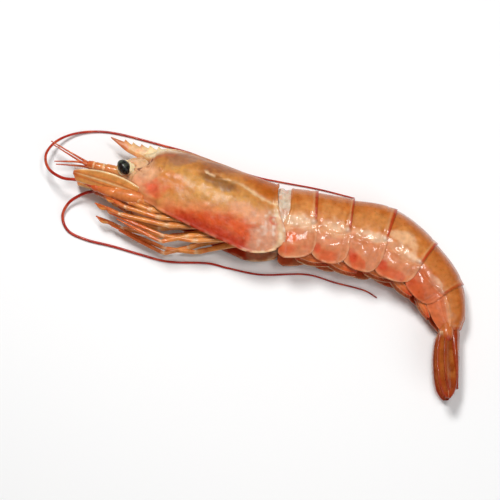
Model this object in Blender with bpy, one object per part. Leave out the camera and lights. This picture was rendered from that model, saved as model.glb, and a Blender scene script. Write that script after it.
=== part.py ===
"""A whole raw red prawn, about 17 cm from eye to tail tip over the back, lying on its right side.

Metres, +Z up. The head points to -X and the back to +Y, so the animal's left side faces up.
The carapace, six overlapping tail segments with lobed side flaps, rostrum, eyes, antennae,
walking legs, swimmerets and tail fan are joined into one solid with a small flat spot below.
Shapes are worked out in millimetres on two guides: the body line, which bends from head to
tail, and the chest grid, which is straight and carries the head and the legs.
"""

import math

import bmesh
import bpy
import numpy as np
from mathutils import Vector

MM = 0.001

# Where the guides' zero point lies from the middle of the whole prawn, in millimetres.
GUIDE_SHIFT = (9.5, 13.2)

# The body line, from the eye socket to the tip of the tail. Stations 0 to 5 span the carapace,
# 5 to 11 the six tail segments and 11 to 12 the tail fan. In millimetres: x and y of the middle,
# its height over the surface, the depth from back to flap edge, and the width.
STATIONS = np.array([
    (-50.5, 16.6, 10.6, 15.0, 11.5),
    (-46.0, 15.5, 10.4, 19.5, 14.5),
    (-39.4, 14.3, 10.2, 23.7, 18.0),
    (-27.0, 9.2, 10.1, 26.0, 20.6),
    (-14.5, 3.9, 10.35, 27.6, 21.4),
    (-3.0, -0.3, 9.95, 28.1, 20.4),
    (11.9, -1.7, 9.55, 26.0, 19.6),
    (23.8, -4.6, 9.35, 26.7, 19.2),
    (36.8, -7.6, 8.95, 26.4, 18.4),
    (49.0, -15.6, 8.4, 20.8, 16.0),
    (56.9, -26.0, 7.9, 17.2, 13.2),
    (59.4, -38.6, 7.4, 10.8, 9.4),
    (58.7, -60.0, 7.0, 4.0, 4.0),
])
CARAPACE_REAR = 5
SEGMENTS = 6
TAIL_ROOT = CARAPACE_REAR + SEGMENTS

# Cross-sections, as shares of the half depth or half width.
WIDEST_UP = 0.08
FLAP_START = 0.6
FLAP_TUCK = 0.2
BELLY_TAIL = 0.44
BELLY_CHEST = 0.58
WALL = 0.95

# Depth of the tail's side flaps at their notches and of the last segment's side, and how much
# that segment narrows towards the tail fan.
FLAP_NOTCH = 0.52
LAST_FLAP = 0.9
LAST_TAPER = 0.26

# How far the carapace's side reaches back over the first segment, how far that segment's side
# reaches forward below it, and the gap between the two on the back, where the skin shows.
CARAPACE_REACH = 6.5
SIDE_REACH = 3.5
MEMBRANE_GAP = 0.42

# A tail segment along the body: how far its flap's arch spans on each side of the middle, as a
# share of the segment, and in the first segment's front part, how square the arch is, and how far
# the flap is swept back in millimetres. Then the shell's size as a share of the body's: where it
# is tucked under the one before, at its front edge, and what it gains towards its rear edge.
ARCH_SPAN = 0.54
ARCH_SPAN_FRONT = 0.12
ARCH_POWER = 2.6
FLAP_SWEEP = 2.6
TUCKED_SCALE = 0.93
FRONT_SCALE = 0.965
REAR_GAIN = 0.04
MEMBRANE_SCALE = 0.92

# The chest grid: millimetres forward, towards the belly and out to the left.
CHEST_ORIGIN = (-3.0, -0.3, 10.1)
CHEST_ANGLE = math.radians(158.0)

# Walking legs, from the claw feet nearest the mouth to the last pair: place of the root, then the
# length and downward angle of the thigh, shin and hand, the thickness, and whether the hand is a
# pincer. The spread is how far out to the side the root and the three joints stand.
LEG_ROOT_DOWN = 8.5
LEG_ROOT_OUT = 2.6
LEG_SPREAD = (3.6, 5.6, 5.0, 3.6)
LEGS = [
    ("jaw_foot", 33.0, ((14.0, 10.0), (8.0, -6.0), (7.0, -16.0)), 1.25, False),
    ("leg_1", 27.0, ((15.0, 16.0), (8.0, 0.0), (9.0, -14.0)), 1.05, True),
    ("leg_2", 21.5, ((17.0, 19.0), (12.0, 4.0), (9.0, -8.0)), 1.0, True),
    ("leg_3", 16.0, ((19.0, 22.0), (17.0, 8.0), (10.0, -4.0)), 1.0, True),
    ("leg_4", 10.7, ((17.0, 29.0), (9.0, 33.0), (18.0, -6.0)), 0.95, False),
    ("leg_5", 5.5, ((19.0, 27.0), (11.0, 12.0), (21.0, -2.0)), 0.95, False),
]
LEG_DROOP_RIGHT = 6.0

# The rostrum's lower edge and crest, as places forward and down on the chest grid, where its back
# end dips into the carapace, its first and last tooth, and a tooth's rise and half length.
ROSTRUM_LOWER = [(26.0, -10.0), (38.0, -8.2), (46.0, -5.0), (52.0, -4.2), (58.0, -4.9), (65.0, -7.5)]
ROSTRUM_CREST = [(30.0, -13.0), (40.0, -11.8), (48.0, -9.6), (56.0, -8.0), (65.0, -7.9)]
ROSTRUM_BACK = (26.0, -12.4)
ROSTRUM_TEETH = 9
ROSTRUM_TOOTHED = (59.0, 35.0)
ROSTRUM_THICK = 1.3
TOOTH_RISE = 1.3
TOOTH_HALF = 0.9

# The head's pieces on the chest grid: forward, down and, where they come in pairs, out.
BROW = [(43.0, 0.6), (49.5, 1.0), (53.5, 1.6), (57.0, 3.4)]
BROW_RADII = (7.2, 6.4, 5.2, 2.6)
MOUTH = [(36.0, 9.0), (43.0, 10.3), (50.0, 10.6)]
MOUTH_RADII = (4.6, 4.2, 2.4)
EYE_STALK = [(50.5, 1.2, 2.2), (53.6, 1.4, 4.2)]
EYE_STALK_RADII = (1.8, 2.1)
ANTENNULE = [(51.0, 2.0, 2.3), (58.0, 3.4, 2.6), (64.0, 4.3, 2.6), (68.0, 4.7, 2.5)]
ANTENNULE_RADII = (1.9, 1.75, 1.45, 1.2)
ANTENNA = [(46.0, 10.2, 4.8), (53.0, 11.4, 4.4), (60.5, 11.8, 3.4), (63.5, 12.0, 3.2)]
ANTENNA_RADII = (2.5, 2.1, 1.5, 1.1)
SCALE_ROOT = (47.5, 8.4, 5.4)
SCALE_TIP = (71.0, 9.6, 5.6)
SCALE_SIZE = (24.0, 8.2, 1.7)
SCALE_TILT = math.radians(42.0)

# The antennule's two short whips: how far each rises from the stem's line, and its tip's place
# forward.
WHIPS = [(-3.0, 84.0), (3.4, 80.0)]

EYE_PLACE = (55.6, 1.9, 6.0)
EYE_RADIUS = 2.9
EYE_SQUASH = (0.80, 1.0, 0.84)
EYE_TURN = math.radians(57.0)

# The two long feelers lie on the surface. Each bends back round the head through the points
# given, and then keeps the gaps given from the body's outline at stations along it: the left one
# behind the back, the right one below the belly.
FEELER_ROOT = (63.0, 12.0, 3.2)
FEELER_LOW = 0.62
FEELER_LEFT_BEND = [
    (-71.5, 14.6, 13.5), (-77.5, 15.8, 12.5), (-82.5, 19.6, 10.5), (-84.0, 25.4, 7.6),
    (-81.0, 31.0, 4.4), (-75.0, 34.6, 1.8), (-67.0, 35.9, 0.62), (-58.0, 34.9, 0.62),
]
FEELER_LEFT_GAPS = [(1.3, 5.2), (2.2, 3.0), (3.0, 2.2), (4.0, 2.4), (5.0, 3.6), (6.0, 3.2), (7.0, 2.6)]
FEELER_RIGHT_BEND = [
    (-70.5, 11.6, 5.0), (-75.8, 8.8, 3.0), (-78.2, 4.0, 1.4), (-76.0, -1.2, 0.62),
    (-69.5, -4.4, 0.62), (-60.0, -6.8, 0.62), (-50.0, -9.8, 0.62), (-40.0, -12.4, 0.62),
]
FEELER_RIGHT_GAPS = [(3.7, 6.4), (4.3, 4.8), (5.0, 3.2), (6.0, 2.6), (7.0, 2.6), (8.0, 3.4), (8.6, 5.0)]

# The tail fan's blades on each side: length, width and thickness, the angle at which they hang,
# the root's place towards the back and out to the side, and how much they spread.
FAN_BLADES = [
    ("inner", (22.0, 7.6, 1.4), math.radians(42.0), 0.2, 2.5, 0.05),
    ("outer", (23.5, 8.8, 1.4), math.radians(62.0), -1.2, 3.7, 0.04),
]

# Swimmerets: root and knee as shares of the half depth and half width, the paddle's size and how
# it turns down and leans, and how much each pair is smaller than the one before.
PADDLE_HIP = (-0.34, 0.46)
PADDLE_KNEE = (-0.84, 0.48)
PADDLE_STEM_RADII = (2.2, 2.3, 1.5)
PADDLE_SIZE = (11.5, 3.6, 1.0)
PADDLE_DIP = 0.20
PADDLE_LEAN = 1.05
PADDLE_SHRINK = 0.07

CLIP_BLOCK = 400.0
FLAT_ANGLE = math.radians(0.1)
WELD = 0.000002
SLIVER = 0.000001
EDGE_HALF = 0.18

SHELL_COLOUR = (0.56, 0.17, 0.05, 1.0)
SHELL_ROUGHNESS = 0.3


def smooth(values, t):
    """Row at t on a Catmull-Rom curve through rows that lie at whole numbers."""
    last = len(values) - 1
    if t <= 0:
        return values[0] + (values[1] - values[0]) * t
    if t >= last:
        return values[last] + (values[last] - values[last - 1]) * (t - last)
    i = int(t)
    f = t - i
    before = values[i - 1] if i > 0 else 2 * values[0] - values[1]
    after = values[i + 2] if i + 2 <= last else 2 * values[last] - values[last - 1]
    a = -0.5 * before + 1.5 * values[i] - 1.5 * values[i + 1] + 0.5 * after
    b = before - 2.5 * values[i] + 2.0 * values[i + 1] - 0.5 * after
    c = 0.5 * (values[i + 1] - before)
    return ((a * f + b) * f + c) * f + values[i]


def body_frame(t):
    """Middle, tailward and backward directions, half depth and half width at station t."""
    x, y, lift, depth, width = smooth(STATIONS, t)
    step = smooth(STATIONS, t + 0.02) - smooth(STATIONS, t - 0.02)
    tail = Vector((step[0], step[1], 0.0)).normalized()
    back = Vector((-tail.y, tail.x, 0.0))
    return Vector((x, y, lift)), tail, back, depth / 2, width / 2


def on_body(t, up, out, slide=0.0):
    """Point up towards the back and out to the left of the body line, slid tailward."""
    middle, tail, back, _, _ = body_frame(t)
    return middle + tail * slide + back * up + Vector((0, 0, out))


def on_chest(forward, down, out):
    """Point on the chest grid."""
    ahead = Vector((math.cos(CHEST_ANGLE), math.sin(CHEST_ANGLE), 0.0))
    below = Vector((-ahead.y, ahead.x, 0.0))
    return Vector(CHEST_ORIGIN) + ahead * forward + below * down + Vector((0, 0, out))


def on_side(places, side):
    """Points on the chest grid, out to the left for side 1 and to the right for side -1."""
    return [on_chest(forward, down, side * out) for forward, down, out in places]


def flank(share, half_depth, half_width, drop):
    """Side outline from the back (share 0) to the flap's tip (share 1): up and out."""
    if share < FLAP_START:
        turn = share / FLAP_START * math.pi / 2
        out = half_width * math.sin(turn) ** 0.92
        up = half_depth * (WIDEST_UP + (1 - WIDEST_UP) * math.cos(turn))
        return up, out
    fall = (share - FLAP_START) / (1 - FLAP_START)
    out = half_width * (1 - FLAP_TUCK * fall ** 2)
    up = half_depth * (WIDEST_UP - (WIDEST_UP + drop) * fall)
    return up, out


def shell_ring(t, scale, drop, belly, sides, slide=lambda share: 0.0):
    """Ring over the back from flap to flap, then home along the flaps' insides and the belly."""
    _, _, _, half_depth, half_width = body_frame(t)
    half_depth *= scale
    half_width *= scale
    outer = []
    inner = []
    for i in range(sides):
        v = -1 + 2 * i / (sides - 1)
        share = abs(v)
        up, out = flank(share, half_depth, half_width, drop)
        outer.append(on_body(t, up, math.copysign(out, v), slide(share)))
        root = half_width * (1 - FLAP_TUCK) - WALL
        level = -half_depth * (belly + 0.06 * math.cos(min(share / FLAP_START, 1.0) * math.pi / 2))
        if share > FLAP_START:
            fall = (share - FLAP_START) / (1 - FLAP_START)
            level += (-half_depth * drop - level) * fall
        reach = root * min(share / FLAP_START, 1.0)
        inner.append(on_body(t, level, math.copysign(reach, v), slide(share)))
    return outer + inner[::-1]


def ramp(low, high, x):
    """Share of the way from low to high, kept between 0 and 1."""
    return min(1.0, max(0.0, (x - low) / (high - low)))


def link(name, mesh, collection):
    obj = bpy.data.objects.new(name, mesh)
    collection.objects.link(obj)
    return obj


def loft(name, rings, collection):
    """Closed solid through rings of equal count, whose halves face each other in pairs."""
    bm = bmesh.new()
    rows = [[bm.verts.new(point * MM) for point in ring] for ring in rings]
    count = len(rows[0])
    for row, following in zip(rows, rows[1:]):
        for i in range(count):
            j = (i + 1) % count
            bm.faces.new((row[i], row[j], following[j], following[i]))
    for row in (rows[0], rows[-1]):
        for i in range(count // 2 - 1):
            bm.faces.new((row[i], row[i + 1], row[count - 2 - i], row[count - 1 - i]))
    bmesh.ops.triangulate(bm, faces=bm.faces[:])
    bmesh.ops.recalc_face_normals(bm, faces=bm.faces[:])
    mesh = bpy.data.meshes.new(name)
    bm.to_mesh(mesh)
    bm.free()
    return link(name, mesh, collection)


def mesh_of_curve(curve, collection):
    """The curve's solid as a mesh object, with its caps welded on."""
    name = curve.name
    holder = bpy.data.objects.new(name + "_curve", curve)
    bpy.context.scene.collection.objects.link(holder)
    graph = bpy.context.evaluated_depsgraph_get()
    mesh = bpy.data.meshes.new_from_object(holder.evaluated_get(graph))
    bm = bmesh.new()
    bm.from_mesh(mesh)
    bmesh.ops.remove_doubles(bm, verts=bm.verts[:], dist=WELD)
    bmesh.ops.triangulate(bm, faces=bm.faces[:])
    bmesh.ops.recalc_face_normals(bm, faces=bm.faces[:])
    bm.to_mesh(mesh)
    bm.free()
    obj = link(name, mesh, collection)
    obj.matrix_world = holder.matrix_world
    bpy.data.objects.remove(holder)
    return obj


def limb(name, points, radii, collection, resolution=1):
    """Round limb along points, with its radius at each of them."""
    curve = bpy.data.curves.new(name, "CURVE")
    curve.dimensions = "3D"
    curve.bevel_depth = MM
    curve.bevel_resolution = resolution
    curve.use_fill_caps = True
    spline = curve.splines.new("POLY")
    spline.points.add(len(points) - 1)
    for node, point, radius in zip(spline.points, points, radii):
        node.co = (*(point * MM), 1.0)
        node.radius = radius
    return mesh_of_curve(curve, collection)


def through(points, per_span):
    """Smooth points through hand-placed ones."""
    rows = np.array([tuple(point) for point in points])
    spans = (len(rows) - 1) * per_span
    return [Vector(smooth(rows, i / per_span)) for i in range(spans + 1)]


def leaf(name, root, along, across, size, collection, bend=0.0, tip=0.12, steps=7, round_end=False,
         thin=0.6):
    """Thin leaf-shaped blade, thick down its middle rib and curved by bend, pointed or rounded.

    The rib loses the share given by thin on its way to the tip.
    """
    length, width, thick = size
    along = along.normalized()
    normal = along.cross(across).normalized()
    across = normal.cross(along).normalized()
    rings = []
    for i in range(steps):
        f = i / (steps - 1)
        if round_end:
            close = math.sqrt(1 - 0.85 * ramp(0.8, 1.0, f) ** 2)
            share = math.sin(math.pi * (0.14 + 0.74 * f)) ** 0.6 * close
        else:
            share = max(tip, math.sin(math.pi * (0.16 + 0.80 * f)) ** 0.75)
        half = width / 2 * share
        rib = thick / 2 * (1 - thin * f)
        middle = root + along * (length * f) + normal * (bend * f * f)
        section = [
            (-half, -EDGE_HALF), (0, -rib), (half, -EDGE_HALF),
            (half, EDGE_HALF), (0, rib), (-half, EDGE_HALF),
        ]
        rings.append([middle + across * a + normal * b for a, b in section])
    return loft(name, rings, collection)


def carapace(collection):
    """Head shield: shallow at the eye, deepest behind the middle, its rear edge drawn back."""

    def reach(share):
        return CARAPACE_REACH * math.sin(math.pi * min(share, 0.98) ** 3.0 * 0.82) ** 1.2

    def front_edge(share):
        socket = 2.6 * math.exp(-((share - 0.36) / 0.14) ** 2)
        corner = 1.2 * math.exp(-((share - 0.80) / 0.15) ** 2)
        return socket - corner

    rings = []
    for t in (0.0, 0.4, 1.0, 1.6, 2.2, 2.8, 3.4, 3.9, 4.3, 4.6, 4.85, 5.0):
        pull = (t / CARAPACE_REAR) ** 6
        front = ramp(1.6, 0.0, t) ** 2
        round_off = 0.26 * max(0.0, (t - 4.4) / 0.6) ** 2
        lift_front = 0.10 * max(0.0, 1 - t / 1.2)
        drop = 1.0 - round_off - lift_front
        scale = 1.0 + 0.035 * max(0.0, (t - 4.5) / 0.5) ** 2

        def slide(share, pull=pull, front=front):
            return pull * reach(share) + front * front_edge(share)

        rings.append(shell_ring(t, scale, drop, BELLY_CHEST, 17, slide))
    loft("carapace", rings, collection)


def membrane(collection):
    """Soft skin that shows between the carapace and the first segment."""
    rings = [shell_ring(t, MEMBRANE_SCALE, FLAP_NOTCH, BELLY_TAIL, 13) for t in (4.4, 5.0, 5.5, 6.0)]
    loft("membrane", rings, collection)


def tail_segment(number, collection):
    """One tail segment, its rear edge standing over the next one, with lobed side flaps."""
    start = CARAPACE_REAR + number - 1
    first, last = number == 1, number == SEGMENTS
    shares = (-0.2, 0.0, 0.14, 0.40, 0.70, 0.90, 1.0)
    if first:
        shares = (MEMBRANE_GAP, 0.46, 0.52, 0.65, 0.78, 0.9, 1.0)
    lobe = LAST_FLAP if last else 1.0
    rings = []
    for u in shares:
        span = ARCH_SPAN_FRONT if first and u < 0.5 else ARCH_SPAN
        arch = math.sqrt(1 - min(1.0, abs(u - 0.5) / span) ** ARCH_POWER)
        drop = FLAP_NOTCH + (lobe - FLAP_NOTCH) * arch
        scale = TUCKED_SCALE if u < 0 else FRONT_SCALE + REAR_GAIN * u
        if first:
            scale -= 0.05 * ramp(0.5, MEMBRANE_GAP, u)
        if last:
            scale *= 1 - LAST_TAPER * ramp(0.65, 1.0, u) ** 2
        sweep = FLAP_SWEEP * max(0.0, u) ** 2 * (0.5 if last else 1.0)
        tuck = SIDE_REACH * ramp(1.0, MEMBRANE_GAP, u) ** 2 if first else 0.0

        def slide(share, sweep=sweep, tuck=tuck):
            hang = share ** 2 * (1 - 0.45 * ramp(0.8, 1.0, share) ** 2)
            return sweep * hang - tuck * ramp(0.5, 0.8, share)

        rings.append(shell_ring(start + u, scale, drop, BELLY_TAIL, 15, slide))
    loft(f"segment_{number}", rings, collection)


def rostrum(collection):
    """Toothed blade that starts on the carapace's back and runs out between the eyes."""
    forward, down = zip(*ROSTRUM_CREST)
    outline = ROSTRUM_LOWER + [ROSTRUM_CREST[-1]]
    front, rear = ROSTRUM_TOOTHED
    for i in range(ROSTRUM_TEETH):
        f = i / (ROSTRUM_TEETH - 1)
        at = front + (rear - front) * f
        height = float(np.interp(at, forward, down))
        rise = TOOTH_RISE - 0.3 * abs(2 * f - 1)
        outline.append((at + TOOTH_HALF, height - rise))
        outline.append((at - TOOTH_HALF, height))
    outline += [ROSTRUM_CREST[0], ROSTRUM_BACK]
    curve = bpy.data.curves.new("rostrum", "CURVE")
    curve.dimensions = "2D"
    curve.fill_mode = "BOTH"
    curve.extrude = ROSTRUM_THICK / 2 * MM
    spline = curve.splines.new("POLY")
    spline.points.add(len(outline) - 1)
    spline.use_cyclic_u = True
    middle = on_chest(0, 0, 0).z
    for node, (forward, down) in zip(spline.points, outline):
        point = on_chest(forward, down, 0)
        node.co = (point.x * MM, point.y * MM, 0.0, 1.0)
    obj = mesh_of_curve(curve, collection)
    obj.location.z = middle * MM


def head(collection):
    """Block between the eye sockets, with the eyes, feelers' stems, scales and mouth parts."""
    limb("brow", [on_chest(forward, down, 0) for forward, down in BROW], BROW_RADII, collection, 3)
    limb("mouth", [on_chest(forward, down, 0) for forward, down in MOUTH], MOUTH_RADII, collection, 2)
    for side, name in ((1, "left"), (-1, "right")):
        limb(f"eye_stalk_{name}", on_side(EYE_STALK, side), EYE_STALK_RADII, collection)
        bpy.ops.mesh.primitive_uv_sphere_add(segments=12, ring_count=8, radius=EYE_RADIUS * MM)
        eye = bpy.context.object
        eye.name = f"eye_{name}"
        eye.scale = EYE_SQUASH
        eye.rotation_euler = (0, 0, CHEST_ANGLE - math.pi + EYE_TURN)
        eye.location = on_side([EYE_PLACE], side)[0] * MM
        eye.users_collection[0].objects.unlink(eye)
        collection.objects.link(eye)
        limb(f"antennule_{name}", on_side(ANTENNULE, side), ANTENNULE_RADII, collection)
        for rise, tip in WHIPS:
            places = [(67.0, 4.7, 2.5), (72.0, 4.8 + 0.25 * rise, 3.0), (tip, 5.0 + rise, 2.2)]
            whip = through(on_side(places, side), 3)
            radii = np.linspace(0.62, 0.28, len(whip))
            limb(f"antennule_whip_{name}_{rise:.0f}", whip, radii, collection, 0)
        root, end = on_side([SCALE_ROOT, SCALE_TIP], side)
        across = on_chest(0, math.cos(SCALE_TILT), -side * math.sin(SCALE_TILT)) - on_chest(0, 0, 0)
        leaf(f"scale_{name}", root, end - root, across, SCALE_SIZE, collection, 0.6 * side, 0.22, 8)
        limb(f"antenna_{name}", on_side(ANTENNA, side), ANTENNA_RADII, collection)


def feelers(collection):
    """The two long feelers: one along the back, one under the legs, both down on the surface."""
    for side, name, bend, gaps in (
            (1, "left", FEELER_LEFT_BEND, FEELER_LEFT_GAPS),
            (-1, "right", FEELER_RIGHT_BEND, FEELER_RIGHT_GAPS)):
        route = on_side([FEELER_ROOT], side) + [Vector(point) for point in bend]
        for t, gap in gaps:
            _, _, _, half_depth, _ = body_frame(t)
            point = on_body(t, side * (half_depth + gap), 0)
            route.append(Vector((point.x, point.y, FEELER_LOW)))
        points = through(route, 3)
        radii = np.linspace(0.6, 0.34, len(points))
        limb(f"feeler_{name}", points, radii, collection, 0)


def legs(collection):
    """Jaw feet and five pairs of walking legs, folded forward under the head shield."""
    for side, name in ((1, "left"), (-1, "right")):
        for title, root, parts, thick, pincer in LEGS:
            forward, down = root, LEG_ROOT_DOWN
            points = [on_chest(forward - 2.0, down - 2.5, side * LEG_ROOT_OUT)]
            points.append(on_chest(forward, down, side * LEG_SPREAD[0]))
            radii = [thick * 1.5, thick * 1.35]
            for k, (length, angle) in enumerate(parts):
                if side < 0:
                    angle += LEG_DROOP_RIGHT * (1 - 0.4 * k)
                step = (length * math.cos(math.radians(angle)), length * math.sin(math.radians(angle)))
                out = side * (LEG_SPREAD[k] + LEG_SPREAD[k + 1]) / 2
                points.append(on_chest(forward + step[0] / 2, down + step[1] / 2, out))
                radii.append(thick * (1.12 - 0.2 * k))
                forward, down = forward + step[0], down + step[1]
                points.append(on_chest(forward, down, side * LEG_SPREAD[k + 1]))
                radii.append(thick * (0.9, 0.72, 0.22)[k])
            limb(f"{title}_{name}", points, radii, collection)
            if pincer:
                finger = [points[-2], (points[-2] + points[-1]) / 2 + Vector((0, -0.9, 0)),
                          points[-1] + Vector((0.4, -0.3, 0))]
                limb(f"{title}_finger_{name}", finger, (0.7, 0.42, 0.2), collection, 0)


def swimmerets(collection):
    """Five pairs of paddles folded tailward between the flaps."""
    for number in range(1, SEGMENTS):
        t = CARAPACE_REAR + number - 0.42
        _, tail, back, half_depth, half_width = body_frame(t)
        size = 1.0 - PADDLE_SHRINK * (number - 1)
        for side, name in ((1, "left"), (-1, "right")):
            hip = on_body(t, PADDLE_HIP[0] * half_depth, side * PADDLE_HIP[1] * half_width)
            knee = on_body(t, PADDLE_KNEE[0] * half_depth, side * PADDLE_KNEE[1] * half_width, 2.4)
            middle = (hip + knee) / 2
            limb(f"paddle_stem_{number}_{name}", [hip, middle, knee], PADDLE_STEM_RADII, collection)
            heading = tail * math.cos(PADDLE_DIP) - back * math.sin(PADDLE_DIP)
            across = Vector((0, 0, 1)) * math.cos(PADDLE_LEAN) + back * math.sin(PADDLE_LEAN) * side
            sizes = (PADDLE_SIZE[0] * size, PADDLE_SIZE[1] * size, PADDLE_SIZE[2])
            leaf(f"paddle_{number}_{name}", knee - heading, heading, across, sizes, collection, -0.8,
                 steps=5)


def tail_fan(collection):
    """Pointed middle plate that carries on the line of the back, with two blades on each side."""
    root = on_body(TAIL_ROOT - 0.14, 1.7, 0)
    _, tail, back, _, _ = body_frame(TAIL_ROOT)
    out = Vector((0, 0, 1))
    leaf("telson", root, tail, out, (23.0, 7.8, 4.6), collection, 0.0, 0.08, 8, thin=0.85)
    for side, name in ((1, "left"), (-1, "right")):
        stem = [
            on_body(TAIL_ROOT - 0.16, -0.6, side * 2.2),
            on_body(TAIL_ROOT, -0.9, side * 3.2, 1.6),
            on_body(TAIL_ROOT, -1.1, side * 3.6, 4.6),
        ]
        limb(f"fan_stem_{name}", stem, (2.4, 2.2, 0.9), collection)
        for title, size, lean, rise, aside, spread in FAN_BLADES:
            base = on_body(TAIL_ROOT, rise, side * aside, 0.6)
            across = out * side * math.cos(lean) - back * math.sin(lean)
            heading = tail + out * side * spread - back * 0.03
            leaf(f"fan_{title}_{name}", base, heading, across, size, collection, 0.5 * side, steps=9,
                 round_end=True)


def apply_boolean(obj, operation, collection=None, other=None):
    """Boolean with a collection or one object, applied. EXACT leaves faults in this union."""
    modifier = obj.modifiers.new("join", "BOOLEAN")
    modifier.operation = operation
    modifier.solver = "MANIFOLD"
    if collection is not None:
        modifier.operand_type = "COLLECTION"
        modifier.collection = collection
    else:
        modifier.object = other
    graph = bpy.context.evaluated_depsgraph_get()
    mesh = bpy.data.meshes.new_from_object(obj.evaluated_get(graph))
    obj.modifiers.clear()
    obj.data = mesh


def islands(bm):
    """Faces of each connected surface."""
    waiting = set(bm.faces)
    found = []
    while waiting:
        group = [waiting.pop()]
        for face in group:
            for edge in face.edges:
                for other in edge.link_faces:
                    if other in waiting:
                        waiting.remove(other)
                        group.append(other)
        found.append(group)
    return found


def finish_mesh(obj):
    """Fill sealed hollows, drop loose scraps, join flat slivers and move the guides' zero point."""
    bm = bmesh.new()
    bm.from_mesh(obj.data)
    surfaces = sorted(islands(bm), key=len)
    spare = [face for group in surfaces[:-1] for face in group]
    bmesh.ops.delete(bm, geom=spare, context="FACES")
    bmesh.ops.dissolve_degenerate(bm, edges=bm.edges[:], dist=SLIVER)
    bmesh.ops.dissolve_limit(bm, angle_limit=FLAT_ANGLE, verts=bm.verts[:], edges=bm.edges[:])
    bmesh.ops.triangulate(bm, faces=bm.faces[:])
    for vert in bm.verts:
        vert.co.x += GUIDE_SHIFT[0] * MM
        vert.co.y += GUIDE_SHIFT[1] * MM
    bm.to_mesh(obj.data)
    bm.free()


def shell_material():
    made = bpy.data.materials.new("shell")
    made.use_nodes = True
    shader = made.node_tree.nodes["Principled BSDF"]
    shader.inputs["Base Color"].default_value = SHELL_COLOUR
    shader.inputs["Roughness"].default_value = SHELL_ROUGHNESS
    shader.inputs["Metallic"].default_value = 0.0
    return made


def build():
    for obj in list(bpy.data.objects):
        bpy.data.objects.remove(obj)
    scene = bpy.context.scene
    whole = bpy.data.collections.new("raw_red_prawn")
    pieces = bpy.data.collections.new("pieces")
    scene.collection.children.link(whole)
    scene.collection.children.link(pieces)

    carapace(pieces)
    membrane(pieces)
    for number in range(1, SEGMENTS + 1):
        tail_segment(number, pieces)
    rostrum(pieces)
    head(pieces)
    feelers(pieces)
    legs(pieces)
    swimmerets(pieces)
    tail_fan(pieces)

    prawn = pieces.objects["carapace"]
    pieces.objects.unlink(prawn)
    whole.objects.link(prawn)
    prawn.name = "prawn"
    apply_boolean(prawn, "UNION", collection=pieces)
    for obj in list(pieces.objects):
        bpy.data.objects.remove(obj)
    bpy.data.collections.remove(pieces)

    bpy.ops.mesh.primitive_cube_add(size=1.0)
    below = bpy.context.object
    below.scale = (CLIP_BLOCK * MM, CLIP_BLOCK * MM, CLIP_BLOCK * MM)
    below.location = (0, 0, -CLIP_BLOCK / 2 * MM)
    apply_boolean(prawn, "DIFFERENCE", other=below)
    bpy.data.objects.remove(below)

    finish_mesh(prawn)
    prawn.data.materials.clear()
    prawn.data.materials.append(shell_material())
    prawn.data.shade_smooth()
    prawn.data.set_sharp_from_angle(angle=math.radians(40))


build()
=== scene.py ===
import math
import random

import bpy
import numpy as np
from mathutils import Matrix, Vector


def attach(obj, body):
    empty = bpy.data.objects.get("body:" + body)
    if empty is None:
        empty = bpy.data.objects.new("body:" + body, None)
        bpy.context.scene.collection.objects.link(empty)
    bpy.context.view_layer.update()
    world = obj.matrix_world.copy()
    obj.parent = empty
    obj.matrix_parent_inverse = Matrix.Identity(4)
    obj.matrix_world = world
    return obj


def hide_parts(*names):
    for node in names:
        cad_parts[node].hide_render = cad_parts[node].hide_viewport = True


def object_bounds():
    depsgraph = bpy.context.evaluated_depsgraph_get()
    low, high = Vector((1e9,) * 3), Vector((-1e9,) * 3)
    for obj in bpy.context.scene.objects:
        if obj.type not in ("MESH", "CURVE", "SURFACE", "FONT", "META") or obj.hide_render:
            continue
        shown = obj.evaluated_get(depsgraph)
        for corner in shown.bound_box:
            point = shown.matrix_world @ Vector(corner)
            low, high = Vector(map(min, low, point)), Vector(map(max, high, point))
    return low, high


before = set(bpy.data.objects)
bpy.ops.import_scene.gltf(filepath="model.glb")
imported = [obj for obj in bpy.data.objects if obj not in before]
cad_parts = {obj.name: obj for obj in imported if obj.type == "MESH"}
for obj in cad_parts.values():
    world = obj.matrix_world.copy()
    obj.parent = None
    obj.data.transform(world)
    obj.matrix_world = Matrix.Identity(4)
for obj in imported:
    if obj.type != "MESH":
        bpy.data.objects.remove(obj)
cad_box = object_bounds()
CAD_LOW, CAD_HIGH = np.array(cad_box[0]), np.array(cad_box[1])

MM = 0.001
UP = np.array([0.0, 0.0, 1.0])

# The guides of the solid, in millimetres: the body line from eye socket to tail tip (x, y, height
# of the middle, depth, width), and the straight chest grid that carries the head and the legs.
GUIDE_SHIFT = np.array([9.5, 13.2, 0.0])
SIDES = ((1, "left"), (-1, "right"))
STATIONS = np.array([
    (-50.5, 16.6, 10.6, 15.0, 11.5),
    (-46.0, 15.5, 10.4, 19.5, 14.5),
    (-39.4, 14.3, 10.2, 23.7, 18.0),
    (-27.0, 9.2, 10.1, 26.0, 20.6),
    (-14.5, 3.9, 10.35, 27.6, 21.4),
    (-3.0, -0.3, 9.95, 28.1, 20.4),
    (11.9, -1.7, 9.55, 26.0, 19.6),
    (23.8, -4.6, 9.35, 26.7, 19.2),
    (36.8, -7.6, 8.95, 26.4, 18.4),
    (49.0, -15.6, 8.4, 20.8, 16.0),
    (56.9, -26.0, 7.9, 17.2, 13.2),
    (59.4, -38.6, 7.4, 10.8, 9.4),
    (58.7, -60.0, 7.0, 4.0, 4.0),
])
CARAPACE_REAR = 5
SEGMENTS = 6
TAIL_ROOT = CARAPACE_REAR + SEGMENTS
# A body section, in shares: where it is widest, above the line; where on its side the flap starts and
# how far that tucks in; how far down the belly's flesh reaches, and the flesh's size in the shell.
WIDEST_UP = 0.08
FLAP_START = 0.6
FLAP_TUCK = 0.2
BELLY_TAIL = 0.44
BELLY_CHEST = 0.58
CORE_SCALE = 0.88
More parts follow.
